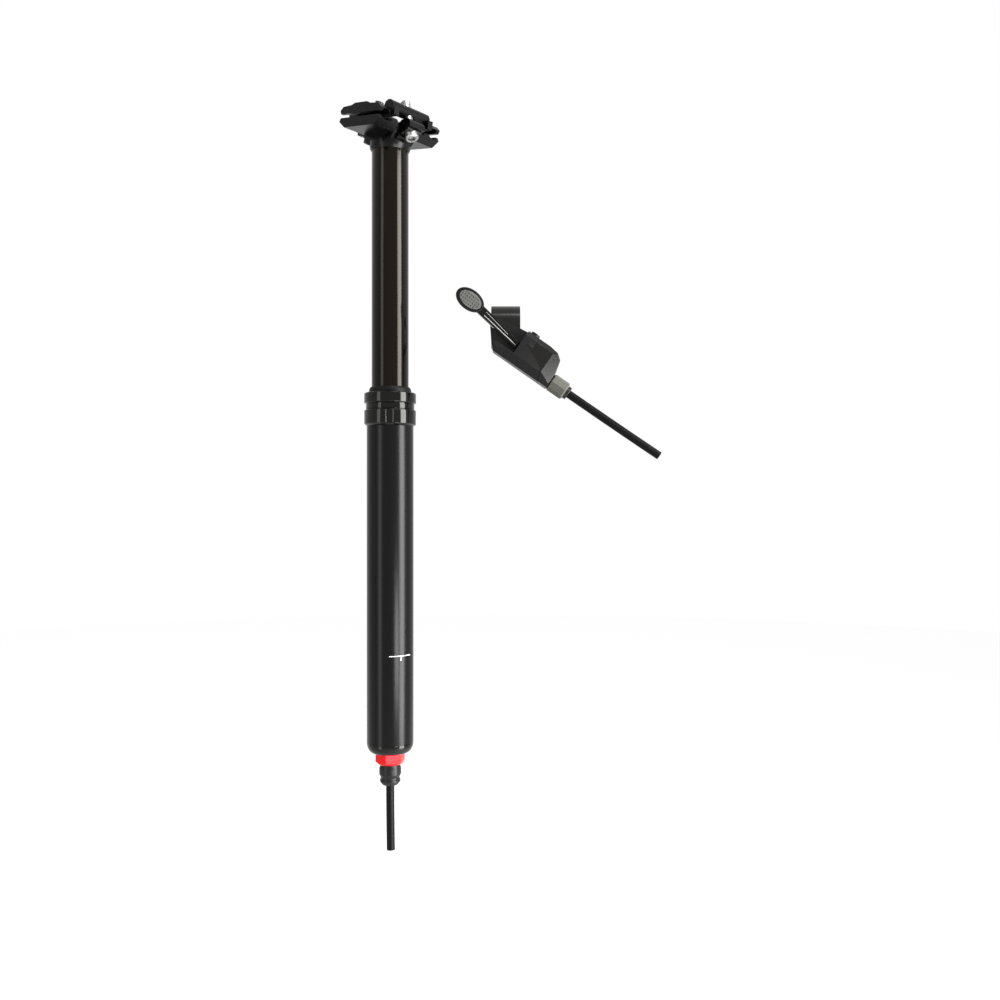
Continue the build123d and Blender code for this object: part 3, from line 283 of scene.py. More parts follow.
RED_ANODISED = Finish(
    "red_anodised", (0.7, 0.013, 0.015), 0.3, metallic=0.8, specular=0.2,
    grain=Grain.TURNED, grain_size=0.3 * MM, grain_depth=0.002 * MM, colour_spread=0.05,
)
BLACK_RUBBER = Finish(
    "black_rubber", (0.002, 0.002, 0.002), 0.5, specular=0.1,
    grain_size=0.5 * MM, grain_depth=0.01 * MM,
)
BLACK_PLASTIC = Finish(
    "black_plastic", (0.0035, 0.0033, 0.003), 0.2, specular=0.2,
    grain=Grain.MOULDED, grain_size=0.5 * MM, grain_depth=0.003 * MM, rough_spread=0.05,
)
MATTE_PLASTIC = Finish(
    "matte_plastic", (0.004, 0.004, 0.004), 0.38, specular=0.18,
    grain=Grain.MOULDED, grain_size=0.4 * MM, grain_depth=0.01 * MM,
)
DIAL_GREY = Finish(
    "dial_grey", (0.055, 0.055, 0.046), 0.36, specular=0.15,
    grain=Grain.MOULDED, grain_size=0.4 * MM, grain_depth=0.01 * MM,
)
PAD_GREY = Finish(
    "pad_grey", (0.045, 0.046, 0.042), 0.5, specular=0.3,
    grain_size=0.4 * MM, grain_depth=0.012 * MM, colour_spread=0.2,
)
BEARING_PLASTIC = Finish(
    "bushing_plastic", (0.42, 0.36, 0.26), 0.45, specular=0.4,
    grain=Grain.TURNED, grain_size=0.4 * MM, grain_depth=0.004 * MM,
)
BRASS = Finish(
    "brass", (0.72, 0.5, 0.2), 0.24, metallic=1.0, specular=0.5,
    grain=Grain.TURNED, grain_size=0.3 * MM, grain_depth=0.002 * MM,
)
HOSE_BLACK = Finish(
    "hose_black", (0.001, 0.001, 0.001), 0.42, specular=0.08,
    grain_size=0.6 * MM, grain_depth=0.008 * MM,
)
WHITE_INK = Finish(
    "white_ink", (0.72, 0.72, 0.7), 0.4, specular=0.4,
    grain_size=0.2 * MM, grain_depth=0.001 * MM, colour_spread=0.06,
)
# Painted highlight: a pale grey that stands in for light reflected along the paddle arm's edges.
PAINTED_HIGHLIGHT_GREY = Finish(
    "painted_highlight_grey", (0.2, 0.2, 0.195), 0.5, specular=0.2,
    grain_size=0.3 * MM, grain_depth=0.001 * MM, colour_spread=0.06,
)
FINISHES = (
    BLACK_ANODISED, SATIN_BLACK, COLLAR_BLACK, FORGED_BLACK, BRIGHT_STEEL, DARK_STEEL,
    RED_ANODISED, BLACK_RUBBER, BLACK_PLASTIC, MATTE_PLASTIC, DIAL_GREY, PAD_GREY,
    BEARING_PLASTIC, BRASS, HOSE_BLACK, WHITE_INK, PAINTED_HIGHLIGHT_GREY,
)
MATERIALS = {finish.name: finish.build() for finish in FINISHES}


# Meshes

CREASE = 32.0  # degrees past which an edge stays sharp
PATTERN_CREASE = 40.0
POINT_MERGE = 0.002 * MM
CAD_MERGE = 0.004 * MM
LEAST_EDGE = 0.001 * MM
FLAT_ANGLE = 1.0  # degrees within which CAD faces count as one
NOTCH_CREASE = 25.0
LATHE_SIDES = 96
COLLAR_SIDES = 160
COIL_CREASE = 60.0
# The degrees past which a CAD edge is rounded, and the faces across each round.
SMALL_EDGE = (28.0, 2)
LARGE_EDGE = (30.0, 3)


@dataclass(frozen=True)
class Place:
    """An origin and three directions, in metres in the row frame."""

    origin: Vector
    x: Vector
    y: Vector
    z: Vector

    def point(self, a: float, b: float, c: float) -> Vector:
        """The point this many millimetres along each direction."""
        return self.origin + (self.x * a + self.y * b + self.z * c) * MM

    def at(self, a: float, b: float, c: float) -> Place:
        """The same directions from another origin, given in millimetres."""
        return Place(self.point(a, b, c), self.x, self.y, self.z)


POST = Place(Vector((0, 0, 0)), Vector((1, 0, 0)), Vector((0, 1, 0)), Vector((0, 0, 1)))


def finish_piece(
    piece: bpy.types.Object, finish: Finish, body: Body, replaces: tuple[str, ...] = ()
) -> bpy.types.Object:
    """Give a piece its finish and its body, and hide the CAD nodes it stands for.

    Args:
        piece: the finished object.
        finish: its surface finish.
        body: the CAD body it moves with.
        replaces: the CAD nodes that it stands for.

    Returns:
        The same object.
    """
    if not piece.data.materials:
        piece.data.materials.append(MATERIALS[finish.name])
    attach(piece, body.value)
    if replaces:
        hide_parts(*replaces)
    log.info("%s rides on %s", piece.name, body.value)
    return piece


def smooth(mesh: bpy.types.Mesh, angle: float = CREASE) -> None:
    """Shade a mesh smooth, with sharp edges past this angle in degrees."""
    mesh.shade_smooth()
    mesh.set_sharp_from_angle(angle=math.radians(angle))


def new_piece(name: str, form: bmesh.types.BMesh, angle: float = CREASE) -> bpy.types.Object:
    """Turn a bmesh into an object in the scene.

    Args:
        name: the object's name.
        form: the shape, which is freed.
        angle: edges that turn by more degrees than this stay sharp.

    Returns:
        The new object.
    """
    mesh = bpy.data.meshes.new(name)
    form.to_mesh(mesh)
    form.free()
    smooth(mesh, angle)
    piece = bpy.data.objects.new(name, mesh)
    bpy.context.scene.collection.objects.link(piece)
    return piece


def rounded(outline: Outline, radius: float, steps: int = 3) -> Outline:
    """Round the corners of a closed outline.

    Args:
        outline: its corners.
        radius: how far back from a corner the round starts, at most a third of a side.
        steps: points on each round.

    Returns:
        The rounded outline.
    """
    result: Outline = []
    count = len(outline)
    for index, corner in enumerate(outline):
        here = Vector(corner)
        before = Vector(outline[index - 1]) - here
        after = Vector(outline[(index + 1) % count]) - here
        reach = min(radius, before.length / 3, after.length / 3)
        start = here + before.normalized() * reach
        end = here + after.normalized() * reach
        for step in range(steps + 1):
            t = step / steps
            point = start * (1 - t) ** 2 + here * 2 * t * (1 - t) + end * t**2
            result.append((point.x, point.y))
    return result


def lathe(name: str, place: Place, outline: Outline, sides: int = LATHE_SIDES) -> bpy.types.Object:
    """Turn a closed outline of (radius, height) in millimetres about a place's z.

    Args:
        name: the object's name.
        place: whose z is the axis.
        outline: the closed outline.
        sides: faces round the piece.

    Returns:
        The new object.
    """
    form = bmesh.new()
    rings = []
    for side in range(sides):
        angle = 2 * math.pi * side / sides
        rings.append([
            form.verts.new(place.point(r * math.cos(angle), r * math.sin(angle), z))
            for r, z in outline
        ])
    for side in range(sides):
        here, there = rings[side], rings[(side + 1) % sides]
        for index in range(len(outline)):
            following = (index + 1) % len(outline)
            form.faces.new((here[index], there[index], there[following], here[following]))
    bmesh.ops.remove_doubles(form, verts=form.verts, dist=POINT_MERGE)
    bmesh.ops.dissolve_degenerate(form, edges=form.edges, dist=LEAST_EDGE)
    bmesh.ops.recalc_face_normals(form, faces=form.faces)
    return new_piece(name, form)


def dress(
    node: str, width: float, finish: Finish, body: Body, edge: tuple[float, int] = SMALL_EDGE
) -> None:
    """Show a CAD node as a copy with its doubled points merged and its edges rounded.

    Args:
        node: the CAD node's name.
        width: the rounds' width in millimetres.
        finish: its surface finish.
        body: the CAD body it moves with.
        edge: the degrees past which an edge is rounded, and the faces across each round.
    """
    angle, segments = edge
    form = bmesh.new()
    form.from_mesh(frame["nodes"][node].data)
    bmesh.ops.remove_doubles(form, verts=form.verts, dist=CAD_MERGE)
    bmesh.ops.dissolve_limit(
        form, angle_limit=math.radians(FLAT_ANGLE), verts=form.verts, edges=form.edges
    )
    bmesh.ops.recalc_face_normals(form, faces=form.faces)
    if form.calc_volume(signed=True) < 0:
        bmesh.ops.reverse_faces(form, faces=form.faces)
    piece = new_piece(f"{node}_soft", form, angle)
    bevel = piece.modifiers.new("round", "BEVEL")
    bevel.width = width * MM
    bevel.segments = segments
    bevel.limit_method = "ANGLE"
    bevel.angle_limit = math.radians(angle)
    bevel.harden_normals = True
    finish_piece(plain(piece), finish, body, (node,))


def plain(piece: bpy.types.Object) -> bpy.types.Object:
    """Turn an object's modifiers into plain mesh.

    Args:
        piece: the object, which keeps its name.

    Returns:
        The same object with no modifiers.
    """
    bpy.context.view_layer.update()
    graph = bpy.context.evaluated_depsgraph_get()
    mesh = bpy.data.meshes.new_from_object(piece.evaluated_get(graph))
    old = piece.data
    piece.modifiers.clear()
    piece.data = mesh
    if isinstance(old, bpy.types.Mesh):
        bpy.data.meshes.remove(old)
    return piece


class Pattern(Graph):
    """A geometry-nodes tree that makes one repeated feature, run once into a plain mesh."""

    def __init__(self, name: str, finish: Finish) -> None:
        """Start a tree.

        Args:
            name: the tree's name.
            finish: what its pieces are made of.
        """
        super().__init__(bpy.data.node_groups.new(name, "GeometryNodeTree"))
        self.finish = finish
        self.tree.interface.new_socket(
            "Geometry", in_out="OUTPUT", socket_type="NodeSocketGeometry"
        )
        self.entry = self.add("NodeGroupInput")
        self.exit = self.add("NodeGroupOutput")
        self.values: dict[str, float] = {}

    def size(self, name: str, value: float, whole: bool = False) -> bpy.types.NodeSocket:
        """Add a named input.

        Args:
            name: the input's name.
            value: what it is set to.
            whole: True for a count.

        Returns:
            The socket to link from.
        """
        kind = "NodeSocketInt" if whole else "NodeSocketFloat"
        socket = self.tree.interface.new_socket(name, in_out="INPUT", socket_type=kind)
        self.values[socket.identifier] = value
        return self.entry.outputs[name]

    def piece(
        self, name: str, place: Place, points: bpy.types.NodeSocket,
        shape: bpy.types.NodeSocket, rotation: bpy.types.NodeSocket | None = None,
    ) -> bpy.types.Object:
        """Set the shape on every point, run the tree and keep its mesh.

        Args:
            name: the new object's name.
            place: where the tree's origin and directions lie.
            points: the geometry whose points are used.
            shape: the mesh that is repeated.
            rotation: how it is turned at each point, if it is.

        Returns:
            A plain mesh object.
        """
        spread = self.add("GeometryNodeInstanceOnPoints")
        self.join(points, spread.inputs["Points"])
        self.join(shape, spread.inputs["Instance"])
        if rotation is not None:
            self.join(rotation, spread.inputs["Rotation"])
        realised = self.add("GeometryNodeRealizeInstances")
        dressed = self.add("GeometryNodeSetMaterial")
        dressed.inputs["Material"].default_value = MATERIALS[self.finish.name]
        self.join(spread.outputs["Instances"], realised.inputs["Geometry"])
        self.join(realised.outputs["Geometry"], dressed.inputs["Geometry"])
        self.join(dressed.outputs["Geometry"], self.exit.inputs[0])
        piece = bpy.data.objects.new(name, bpy.data.meshes.new(name))
        bpy.context.scene.collection.objects.link(piece)
        modifier = piece.modifiers.new("pattern", "NODES")
        modifier.node_group = self.tree
        for identifier, value in self.values.items():
            modifier[identifier] = value
        plain(piece)
        turned = Matrix((place.x, place.y, place.z)).transposed().to_4x4()
        piece.data.transform(Matrix.Translation(place.origin) @ turned)
        smooth(piece.data, PATTERN_CREASE)
        return piece


# Repeated features

RING_SIDES = 40
RIDGE_SIDES = 4
RIDGE_SHARE = 0.36  # a thread ridge's radius, as a share of the pitch
STUD_SIDES = 4
STUD_TOP = 0.32 * MM
STUD_FOOT = 0.72 * MM
STUD_HEIGHT = 0.42 * MM
STUD_FIELD = 0.86  # the squared share of the oval's reach that the studs fill
RIB_DEPTH = 0.5 * MM
RIB_WIDTH = 0.7 * MM


def thread_rings(
    name: str, place: Place, radius: float, pitch: float, count: int, finish: Finish
) -> bpy.types.Object:
    """The ridges of a screw thread, as rings along a place's z.

    Args:
        name: the object's name.
        place: the first ring's centre, with z along the screw.
        radius: the rings' radius in millimetres.
        pitch: the distance from ring to ring in millimetres.
        count: how many rings.
        finish: what the screw is made of.

    Returns:
        The rings as one object.
    """
    pattern = Pattern(f"{name}_tree", finish)
    step = pattern.add("ShaderNodeCombineXYZ")
    pattern.join(pattern.size("Pitch", pitch * MM), step.inputs["Z"])
    line = pattern.add("GeometryNodeMeshLine", mode="OFFSET")
    pattern.join(pattern.size("Rings", count, True), line.inputs["Count"])
    pattern.join(step.outputs["Vector"], line.inputs["Offset"])
    circle = pattern.add("GeometryNodeCurvePrimitiveCircle")
    circle.inputs["Resolution"].default_value = RING_SIDES
    pattern.join(pattern.size("Radius", radius * MM), circle.inputs["Radius"])
    ridge = pattern.add("GeometryNodeCurvePrimitiveCircle")
    ridge.inputs["Resolution"].default_value = RIDGE_SIDES
    pattern.join(pattern.size("Ridge", RIDGE_SHARE * pitch * MM), ridge.inputs["Radius"])
    ring = pattern.add("GeometryNodeCurveToMesh")
    pattern.join(circle.outputs["Curve"], ring.inputs["Curve"])
    pattern.join(ridge.outputs["Curve"], ring.inputs["Profile Curve"])
    return pattern.piece(name, place, line.outputs["Mesh"], ring.outputs["Mesh"])


def grip_studs(
    name: str, place: Place, half_length: float, half_width: float, spacing: float, finish: Finish
) -> bpy.types.Object:
    """Low square studs over an oval pad, in rows on a place's x and y.

    Args:
        name: the object's name.
        place: the pad's centre, with z out of its face.
        half_length: the oval's half length in millimetres.
        half_width: the oval's half width in millimetres.
        spacing: from stud to stud in millimetres.
        finish: what the studs are made of.

    Returns:
        The studs as one object.
    """
    pattern = Pattern(f"{name}_tree", finish)
    grid = pattern.add("GeometryNodeMeshGrid")
    length = pattern.size("Half length", half_length * MM)
    width = pattern.size("Half width", half_width * MM)
    gap = pattern.size("Spacing", spacing * MM)
    position = pattern.add("GeometryNodeInputPosition").outputs["Position"]
    spot = pattern.add("ShaderNodeSeparateXYZ")
    pattern.join(position, spot.inputs["Vector"])
    squares = []
    for axis, half in (("X", length), ("Y", width)):
        full = pattern.math("MULTIPLY", half, 2.0)
        pattern.join(full, grid.inputs[f"Size {axis}"])
        pattern.join(pattern.math("DIVIDE", full, gap), grid.inputs[f"Vertices {axis}"])
        share = pattern.math("DIVIDE", spot.outputs[axis], half)
        squares.append(pattern.math("MULTIPLY", share, share))
    outside = pattern.add("FunctionNodeCompare", operation="GREATER_THAN", data_type="FLOAT")
    pattern.join(pattern.math("ADD", *squares), outside.inputs["A"])
    outside.inputs["B"].default_value = STUD_FIELD
    kept = pattern.add("GeometryNodeDeleteGeometry", domain="POINT")
    pattern.join(grid.outputs["Mesh"], kept.inputs["Geometry"])
    pattern.join(outside.outputs["Result"], kept.inputs["Selection"])
    stud = pattern.add("GeometryNodeMeshCone")
    stud.inputs["Vertices"].default_value = STUD_SIDES
    stud.inputs["Radius Top"].default_value = STUD_TOP
    stud.inputs["Radius Bottom"].default_value = STUD_FOOT
    stud.inputs["Depth"].default_value = STUD_HEIGHT
    return pattern.piece(name, place, kept.outputs["Geometry"], stud.outputs["Mesh"])


def grip_ribs(
    name: str, place: Place, radius: float, height: float, count: int, finish: Finish
) -> bpy.types.Object:
    """Upright ribs round a barrel, as on a finger nut.

    Args:
        name: the object's name.
        place: the ribs' middle, with z along the barrel.
        radius: from the axis to the ribs' middle in millimetres.
        height: the ribs' height in millimetres.
        count: how many ribs.
        finish: what the barrel is made of.

    Returns:
        The ribs as one object.
    """
    pattern = Pattern(f"{name}_tree", finish)
    ring = pattern.add("GeometryNodeMeshCircle")
    pattern.join(pattern.size("Ribs", count, True), ring.inputs["Vertices"])
    pattern.join(pattern.size("Radius", radius * MM), ring.inputs["Radius"])
    upright = pattern.add("ShaderNodeCombineXYZ")
    upright.inputs["X"].default_value = RIB_DEPTH
    upright.inputs["Y"].default_value = RIB_WIDTH
    pattern.join(pattern.size("Height", height * MM), upright.inputs["Z"])
    rib = pattern.add("GeometryNodeMeshCube")
    pattern.join(upright.outputs["Vector"], rib.inputs["Size"])
    position = pattern.add("GeometryNodeInputPosition").outputs["Position"]
    facing = pattern.add("FunctionNodeAlignRotationToVector", axis="X")
    pattern.join(position, facing.inputs["Vector"])
    return pattern.piece(
        name, place, ring.outputs["Mesh"], rib.outputs["Mesh"], facing.outputs["Rotation"]
    )


# The studio


@dataclass(frozen=True)
class Lamp:
    """A soft box, placed by how it stands to the camera.

    Attributes:
        name: the lamp's name.
        turn: how far right of the camera it stands, in degrees.
        rise: how far above level, in degrees.
        distance: how far from the object, in metres.
        size: its width and height in metres.
        power: in watts.
    """

    name: str
    turn: float
    rise: float
    distance: float
    size: tuple[float, float]
    power: float

    def hang(self, aim: Vector, side: Vector, towards: Vector) -> None:
        """Hang the lamp in the scene.

        Args:
            aim: the point it faces.
            side: the picture's rightward direction.
            towards: the direction from the object to the camera.
        """
        data = bpy.data.lights.new(self.name, "AREA")
        data.shape = "RECTANGLE"
        data.size, data.size_y = self.size
        data.energy = self.power
        turn, rise = math.radians(self.turn), math.radians(self.rise)
        level = towards * math.cos(turn) + side * math.sin(turn)
        way = level * math.cos(rise) + Vector((0, 0, math.sin(rise)))
        lamp = bpy.data.objects.new(self.name, data)
        lamp.location = aim + way * self.distance
        lamp.rotation_euler = (-way).to_track_quat("-Z", "Y").to_euler()
        bpy.context.scene.collection.objects.link(lamp)


LAMPS = (
    Lamp("lamp_right", turn=66.0, rise=1.0, distance=1.2, size=(0.55, 1.7), power=73.0),
    Lamp("lamp_left", turn=-46.0, rise=1.0, distance=1.2, size=(0.3, 1.7), power=7.9),
    Lamp("lamp_top", turn=35.0, rise=60.0, distance=1.1, size=(0.45, 0.45), power=7.0),
    Lamp("lamp_low", turn=37.0, rise=-21.0, distance=1.0, size=(0.3, 0.3), power=6.5),
)


@dataclass
class Studio:
    """The camera, the pale floor and the soft light round the object, in metres and degrees."""

    view_turn: float = 40.0
    view_distance: float = 0.65
    view_height: float = -0.05
    view_side: float = 0.0747
    lens: float = 34.4
    sensor: float = 36.0
    middle: float = 0.03
    floor_height: float = -0.85
    floor_radius: float = 6.0
    paper: float = 0.8
    glow_near: float = 0.4
    glow_far: float = 0.8
    room_level: float = 0.22

    def build(self) -> None:
        """Set up the camera, the floor, the lamps and the world."""
        turn = math.radians(self.view_turn)
        side = Vector((math.cos(turn), math.sin(turn), 0))
        towards = Vector((math.sin(turn), -math.cos(turn), 0))
        self.camera(side, towards)
        self.floor()
        for lamp in LAMPS:
            lamp.hang(side * self.middle, side, towards)
        self.world()
        bpy.context.scene.view_settings.view_transform = "Standard"
        log.info("studio is set")

    def camera(self, side: Vector, towards: Vector) -> None:
        """Place the camera level, looking at the post and its remote.

        Args:
            side: the picture's rightward direction.
            towards: the direction from the object to the camera.
        """
        data = bpy.data.cameras.new("camera")
        data.lens = self.lens
        data.sensor_width = self.sensor
        camera = bpy.data.objects.new("camera", data)
        aim = side * self.view_side + Vector((0, 0, self.view_height))
        camera.location = aim + towards * self.view_distance
        camera.rotation_euler = (-towards).to_track_quat("-Z", "Y").to_euler()
        bpy.context.scene.collection.objects.link(camera)
        bpy.context.scene.camera = camera

    def floor(self) -> None:
        """Lay a wide pale floor that looks white and keeps the object's shadow."""
        form = bmesh.new()
        bmesh.ops.create_circle(form, cap_ends=True, segments=64, radius=self.floor_radius)
        bmesh.ops.translate(form, verts=form.verts, vec=(0, 0, self.floor_height))
        piece = new_piece("floor", form)
        sheet = NodeSheet("floor_paper")
        paper = sheet.add("ShaderNodeBsdfDiffuse")
        paper.inputs["Color"].default_value = (self.paper, self.paper, self.paper, 1.0)
        reach = sheet.add("ShaderNodeVectorMath", operation="LENGTH")
        sheet.join(sheet.add("ShaderNodeTexCoord").outputs["Object"], reach.inputs[0])
        glow = sheet.add("ShaderNodeMapRange")
        glow.inputs["From Min"].default_value = -self.floor_height
        glow.inputs["From Max"].default_value = -2 * self.floor_height
        glow.inputs["To Min"].default_value = self.glow_near
        glow.inputs["To Max"].default_value = self.glow_far
        sheet.join(reach.outputs["Value"], glow.inputs["Value"])
        white = sheet.add("ShaderNodeEmission")
        strength = sheet.math("MULTIPLY", glow.outputs["Result"], sheet.seen())
        sheet.join(strength, white.inputs["Strength"])
        both = sheet.add("ShaderNodeAddShader")
        sheet.join(paper.outputs["BSDF"], both.inputs[0])
        sheet.join(white.outputs["Emission"], both.inputs[1])
        sheet.join(both.outputs["Shader"], sheet.output.inputs["Surface"])
        piece.data.materials.append(sheet.material)

    def world(self) -> None:
        """Fill the room with even light that looks white where it is seen."""
        world = bpy.data.worlds.new("room")
        bpy.context.scene.world = world
        world.use_nodes = True
        room = Graph(world.node_tree)
        level = room.add("ShaderNodeMapRange")
        level.inputs["To Min"].default_value = self.room_level
        level.inputs["To Max"].default_value = 1.0
        room.join(room.seen(), level.inputs["Value"])
        light = room.add("ShaderNodeBackground")
        light.inputs["Color"].default_value = (1.0, 1.0, 1.0, 1.0)
        room.join(level.outputs["Result"], light.inputs["Strength"])
        output = room.add("ShaderNodeOutputWorld")
        room.join(light.outputs["Background"], output.inputs["Surface"])


# The object's sub-assemblies, in millimetres

# Radius and height of each corner of the wiper's lip and of the hose fitting's barrel.
WIPER_OUTLINE: Outline = [
    (12.56, 18.5), (13.67, 18.5), (13.67, 22.4), (14.3, 22.4), (14.3, 24.3), (13.9, 25.6),
    (13.2, 26.5), (12.56, 26.0),
]
BARREL_OUTLINE: Outline = [
    (2.83, -229), (6.9, -229), (6.9, -230.4), (7.3, -231.6), (7.4, -232.4), (7.4, -235.8),
    (7.1, -236.4), (6.4, -237.9), (6.4, -239.3), (6.9, -239.5), (6.9, -241.0), (5.2, -243.2),
    (2.83, -243.5),
]
# Half angle in degrees, lower and upper edge of the depth mark's line and of its tick.
LINE = (30.0, -0.22, 0.22)
TICK = (1.0, -3.2, -0.22)
# Each painted highlight strip along an edge of the arm: its height at the pivot and at the pad, the share left
# bare, its radius.
ARM_HIGHLIGHT_STRIPS = (
    ("lower_edge_highlight", -0.37, -3.7, 0.0, 0.3),
    ("upper_edge_highlight", -1.67, -6.3, 0.3, 0.16),
)
# Where the springs stand, on the remote's directions and on the post's.
MASTER_SPRING_FOOT = (47.5, 5.5, -4.0)
POPPET_SPRING_FOOT = (0.0, 0.0, -5.6)


@dataclass
class LowerTube:
    """The tube in the bicycle's frame, with its collar, seal, rounded end and hose fitting."""

    tube_radius: float = 15.8
    wall: float = 2.3
    length: float = 214.0
    neck_radius: float = 15.0
    neck_length: float = 12.0
    fit: float = 0.03
    collar_radius: float = 17.6
    collar_height: float = 22.4
    collar_foot: float = 1.4
    collar_edge: float = 0.5
    lower_band_top: float = 10.9
    upper_band_foot: float = 15.3
    waist_radius: float = 16.4
    collar_bore: float = 13.0
    seal_seat_radius: float = 13.7
    seal_seat_height: float = 18.5
    notch_half_angle: float = 9.0
    notch_depth: float = 0.9
    notch_top: float = 8.7
    cap_round: float = 7.0
    cap_end_radius: float = 11.25
    cap_bore: float = 5.03
    cap_plug: float = 8.0
    cap_web: float = 0.5
    cap_shoulder: float = 0.1
    cap_seam: float = 0.12
    cap_lip: float = 0.2
    cap_skirt: float = 0.6
    hose_bore: float = 2.83
    mark_height: float = -154.0
    mark_middle: float = -16.0
    ink_sunk: float = 0.01
    ink_proud: float = 0.03

    def build(self) -> None:
        """Make and dress every piece."""
        self.tube()
        self.collar()
        self.seal()
        self.cap()
        self.fitting()
        self.mark()

    def tube(self) -> None:
        """The long satin tube."""
        bore = self.tube_radius - self.wall
        outline = [
            (bore, -self.length), (self.tube_radius, -self.length), (self.tube_radius, 0),
            (self.neck_radius, 0), (self.neck_radius, self.neck_length), (bore, self.neck_length),
        ]
        piece = lathe("tube_shell", POST, rounded(outline, 0.25))
        finish_piece(piece, SATIN_BLACK, Body.FIXED, ("outer_tube",))

    def collar(self) -> None:
        """The two-banded collar, with a spanner notch at each quarter of its lower band."""
        radius, inner = self.collar_radius, self.neck_radius + self.fit
        edge, foot = self.collar_edge, self.neck_length + self.fit
        low, high, top = self.lower_band_top, self.upper_band_foot, self.collar_height
        waist, groove = self.waist_radius, self.waist_radius - edge
        seat, bore = self.seal_seat_radius, self.collar_bore
        outline = [
            (inner, 0), (self.tube_radius, 0), (radius, self.collar_foot), (radius, low - edge),
            (radius - edge, low), (waist, low), (groove, low), (groove, low + edge),
            (waist, low + edge), (waist, high - edge), (groove, high - edge), (groove, high),
            (waist, high), (radius - edge, high), (radius, high + edge), (radius, top - edge),
            (radius - edge, top), (seat, top), (seat, self.seal_seat_height),
            (bore, self.seal_seat_height), (bore, foot), (inner, foot),
        ]
        piece = lathe("collar_rings", POST, rounded(outline, 0.22), COLLAR_SIDES)
        for vertex in piece.data.vertices:
            angle = math.degrees(math.atan2(vertex.co.y, vertex.co.x)) % 90 - 45
            reach = math.hypot(vertex.co.x, vertex.co.y)
            limit = (radius - self.notch_depth) * MM
            in_notch = abs(angle) < self.notch_half_angle and vertex.co.z < self.notch_top * MM
            if in_notch and reach > limit:
                vertex.co.x *= limit / reach
                vertex.co.y *= limit / reach
        smooth(piece.data, NOTCH_CREASE)
        finish_piece(piece, COLLAR_BLACK, Body.FIXED, ("top_collar",))

    def seal(self) -> None:
        """The wiper's lip, standing out of the collar."""
        piece = lathe("wiper_lip", POST, rounded(WIPER_OUTLINE, 0.35, 4))
        finish_piece(piece, BLACK_RUBBER, Body.FIXED, ("wiper_seal",))

    def cap(self) -> None:
        """The rounded end of the tube."""
        top = -self.length
        plug_radius = self.tube_radius - self.wall - self.fit
        shoulder = self.tube_radius - self.cap_shoulder
        outline = [
            (self.cap_bore, top - self.cap_web), (self.cap_bore, top + self.cap_plug),
            (plug_radius, top + self.cap_plug), (plug_radius, top), (shoulder, top),
            (shoulder, top - self.cap_seam), (self.tube_radius, top - self.cap_lip),
        ]
        drop, back = self.cap_round - self.cap_skirt, self.tube_radius - self.cap_end_radius
        steps = 12
        for step in range(1, steps + 1):
            turn = math.pi / 2 * step / steps
            outline.append((
                self.cap_end_radius + back * math.cos(turn) ** 0.9,
                top - self.cap_skirt - drop * math.sin(turn) ** 1.1,
            ))
        outline += [(self.hose_bore, top - self.cap_round), (self.hose_bore, top - self.cap_web)]
        piece = lathe("round_end", POST, outline)
        finish_piece(piece, COLLAR_BLACK, Body.FIXED, ("bottom_cap",))

    def fitting(self) -> None:
        """The red hexagon and the black barrel nut under it, with its finger ribs."""
        dress("connector_hex", 0.3, RED_ANODISED, Body.FIXED)
        barrel = lathe("fitting_barrel", POST, rounded(BARREL_OUTLINE, 0.3))
        finish_piece(barrel, MATTE_PLASTIC, Body.FIXED, ("connector_barrel",))
        ribs = grip_ribs(
            "fitting_ribs", POST.at(0, 0, -234.2), radius=7.15, height=3.6, count=24,
            finish=MATTE_PLASTIC,
        )
        finish_piece(ribs, MATTE_PLASTIC, Body.FIXED)

    def mark(self) -> None:
        """The thin printed line that shows how deep the tube has to sit, with its tick."""
        form = bmesh.new()
        inner, outer = self.tube_radius - self.ink_sunk, self.tube_radius + self.ink_proud
        for spread, low, high in (LINE, TICK):
            steps = max(2, round(spread))
            rows = []
            for step in range(steps + 1):
                angle = math.radians(self.mark_middle - spread + 2 * spread * step / steps)
                across = Vector((math.cos(angle), math.sin(angle), 0))
                foot, top = self.mark_height + low, self.mark_height + high
                rows.append([
                    form.verts.new(across * reach * MM + Vector((0, 0, z * MM)))
                    for reach, z in ((inner, foot), (outer, foot), (outer, top), (inner, top))
                ])
            for here, there in zip(rows, rows[1:]):
                for index in range(4):
                    after = (index + 1) % 4
                    form.faces.new((here[index], there[index], there[after], here[after]))
            form.faces.new(reversed(rows[0]))
            form.faces.new(rows[-1])
        bmesh.ops.recalc_face_normals(form, faces=form.faces)
        piece = new_piece("depth_mark", form)
        finish_piece(piece, WHITE_INK, Body.FIXED)


@dataclass
class UpperPost:
    """The sliding tube and the forged head on it."""

    radius: float = 12.5
    wall: float = 2.5
    bottom: float = -46.0
    top: float = 186.0
    band_top: float = -34.0
    band_depth: float = 0.8

    def build(self) -> None:
        """Make and dress every piece."""
        bore, band = self.radius - self.wall, self.radius - self.band_depth
        outline = [
            (bore, self.bottom), (band, self.bottom), (band, self.band_top),
            (self.radius, self.band_top), (self.radius, self.top), (bore, self.top),
        ]
        piece = lathe("slider_tube", POST, rounded(outline, 0.25))
        finish_piece(piece, BLACK_ANODISED, Body.SLIDER, ("stanchion",))
        dress("head", 0.7, FORGED_BLACK, Body.SLIDER, LARGE_EDGE)
        dress("valve_cap", 0.3, MATTE_PLASTIC, Body.SLIDER)


@dataclass
class RailClamp:
    """The cradle and the two upper clamps that grip the saddle's rails."""

    edge_round: float = 0.7

    def build(self) -> None:
        """Make and dress every piece."""
        for node in ("cradle", "upper_clamp_left", "upper_clamp_right"):
            dress(node, self.edge_round, FORGED_BLACK, Body.CLAMP, LARGE_EDGE)


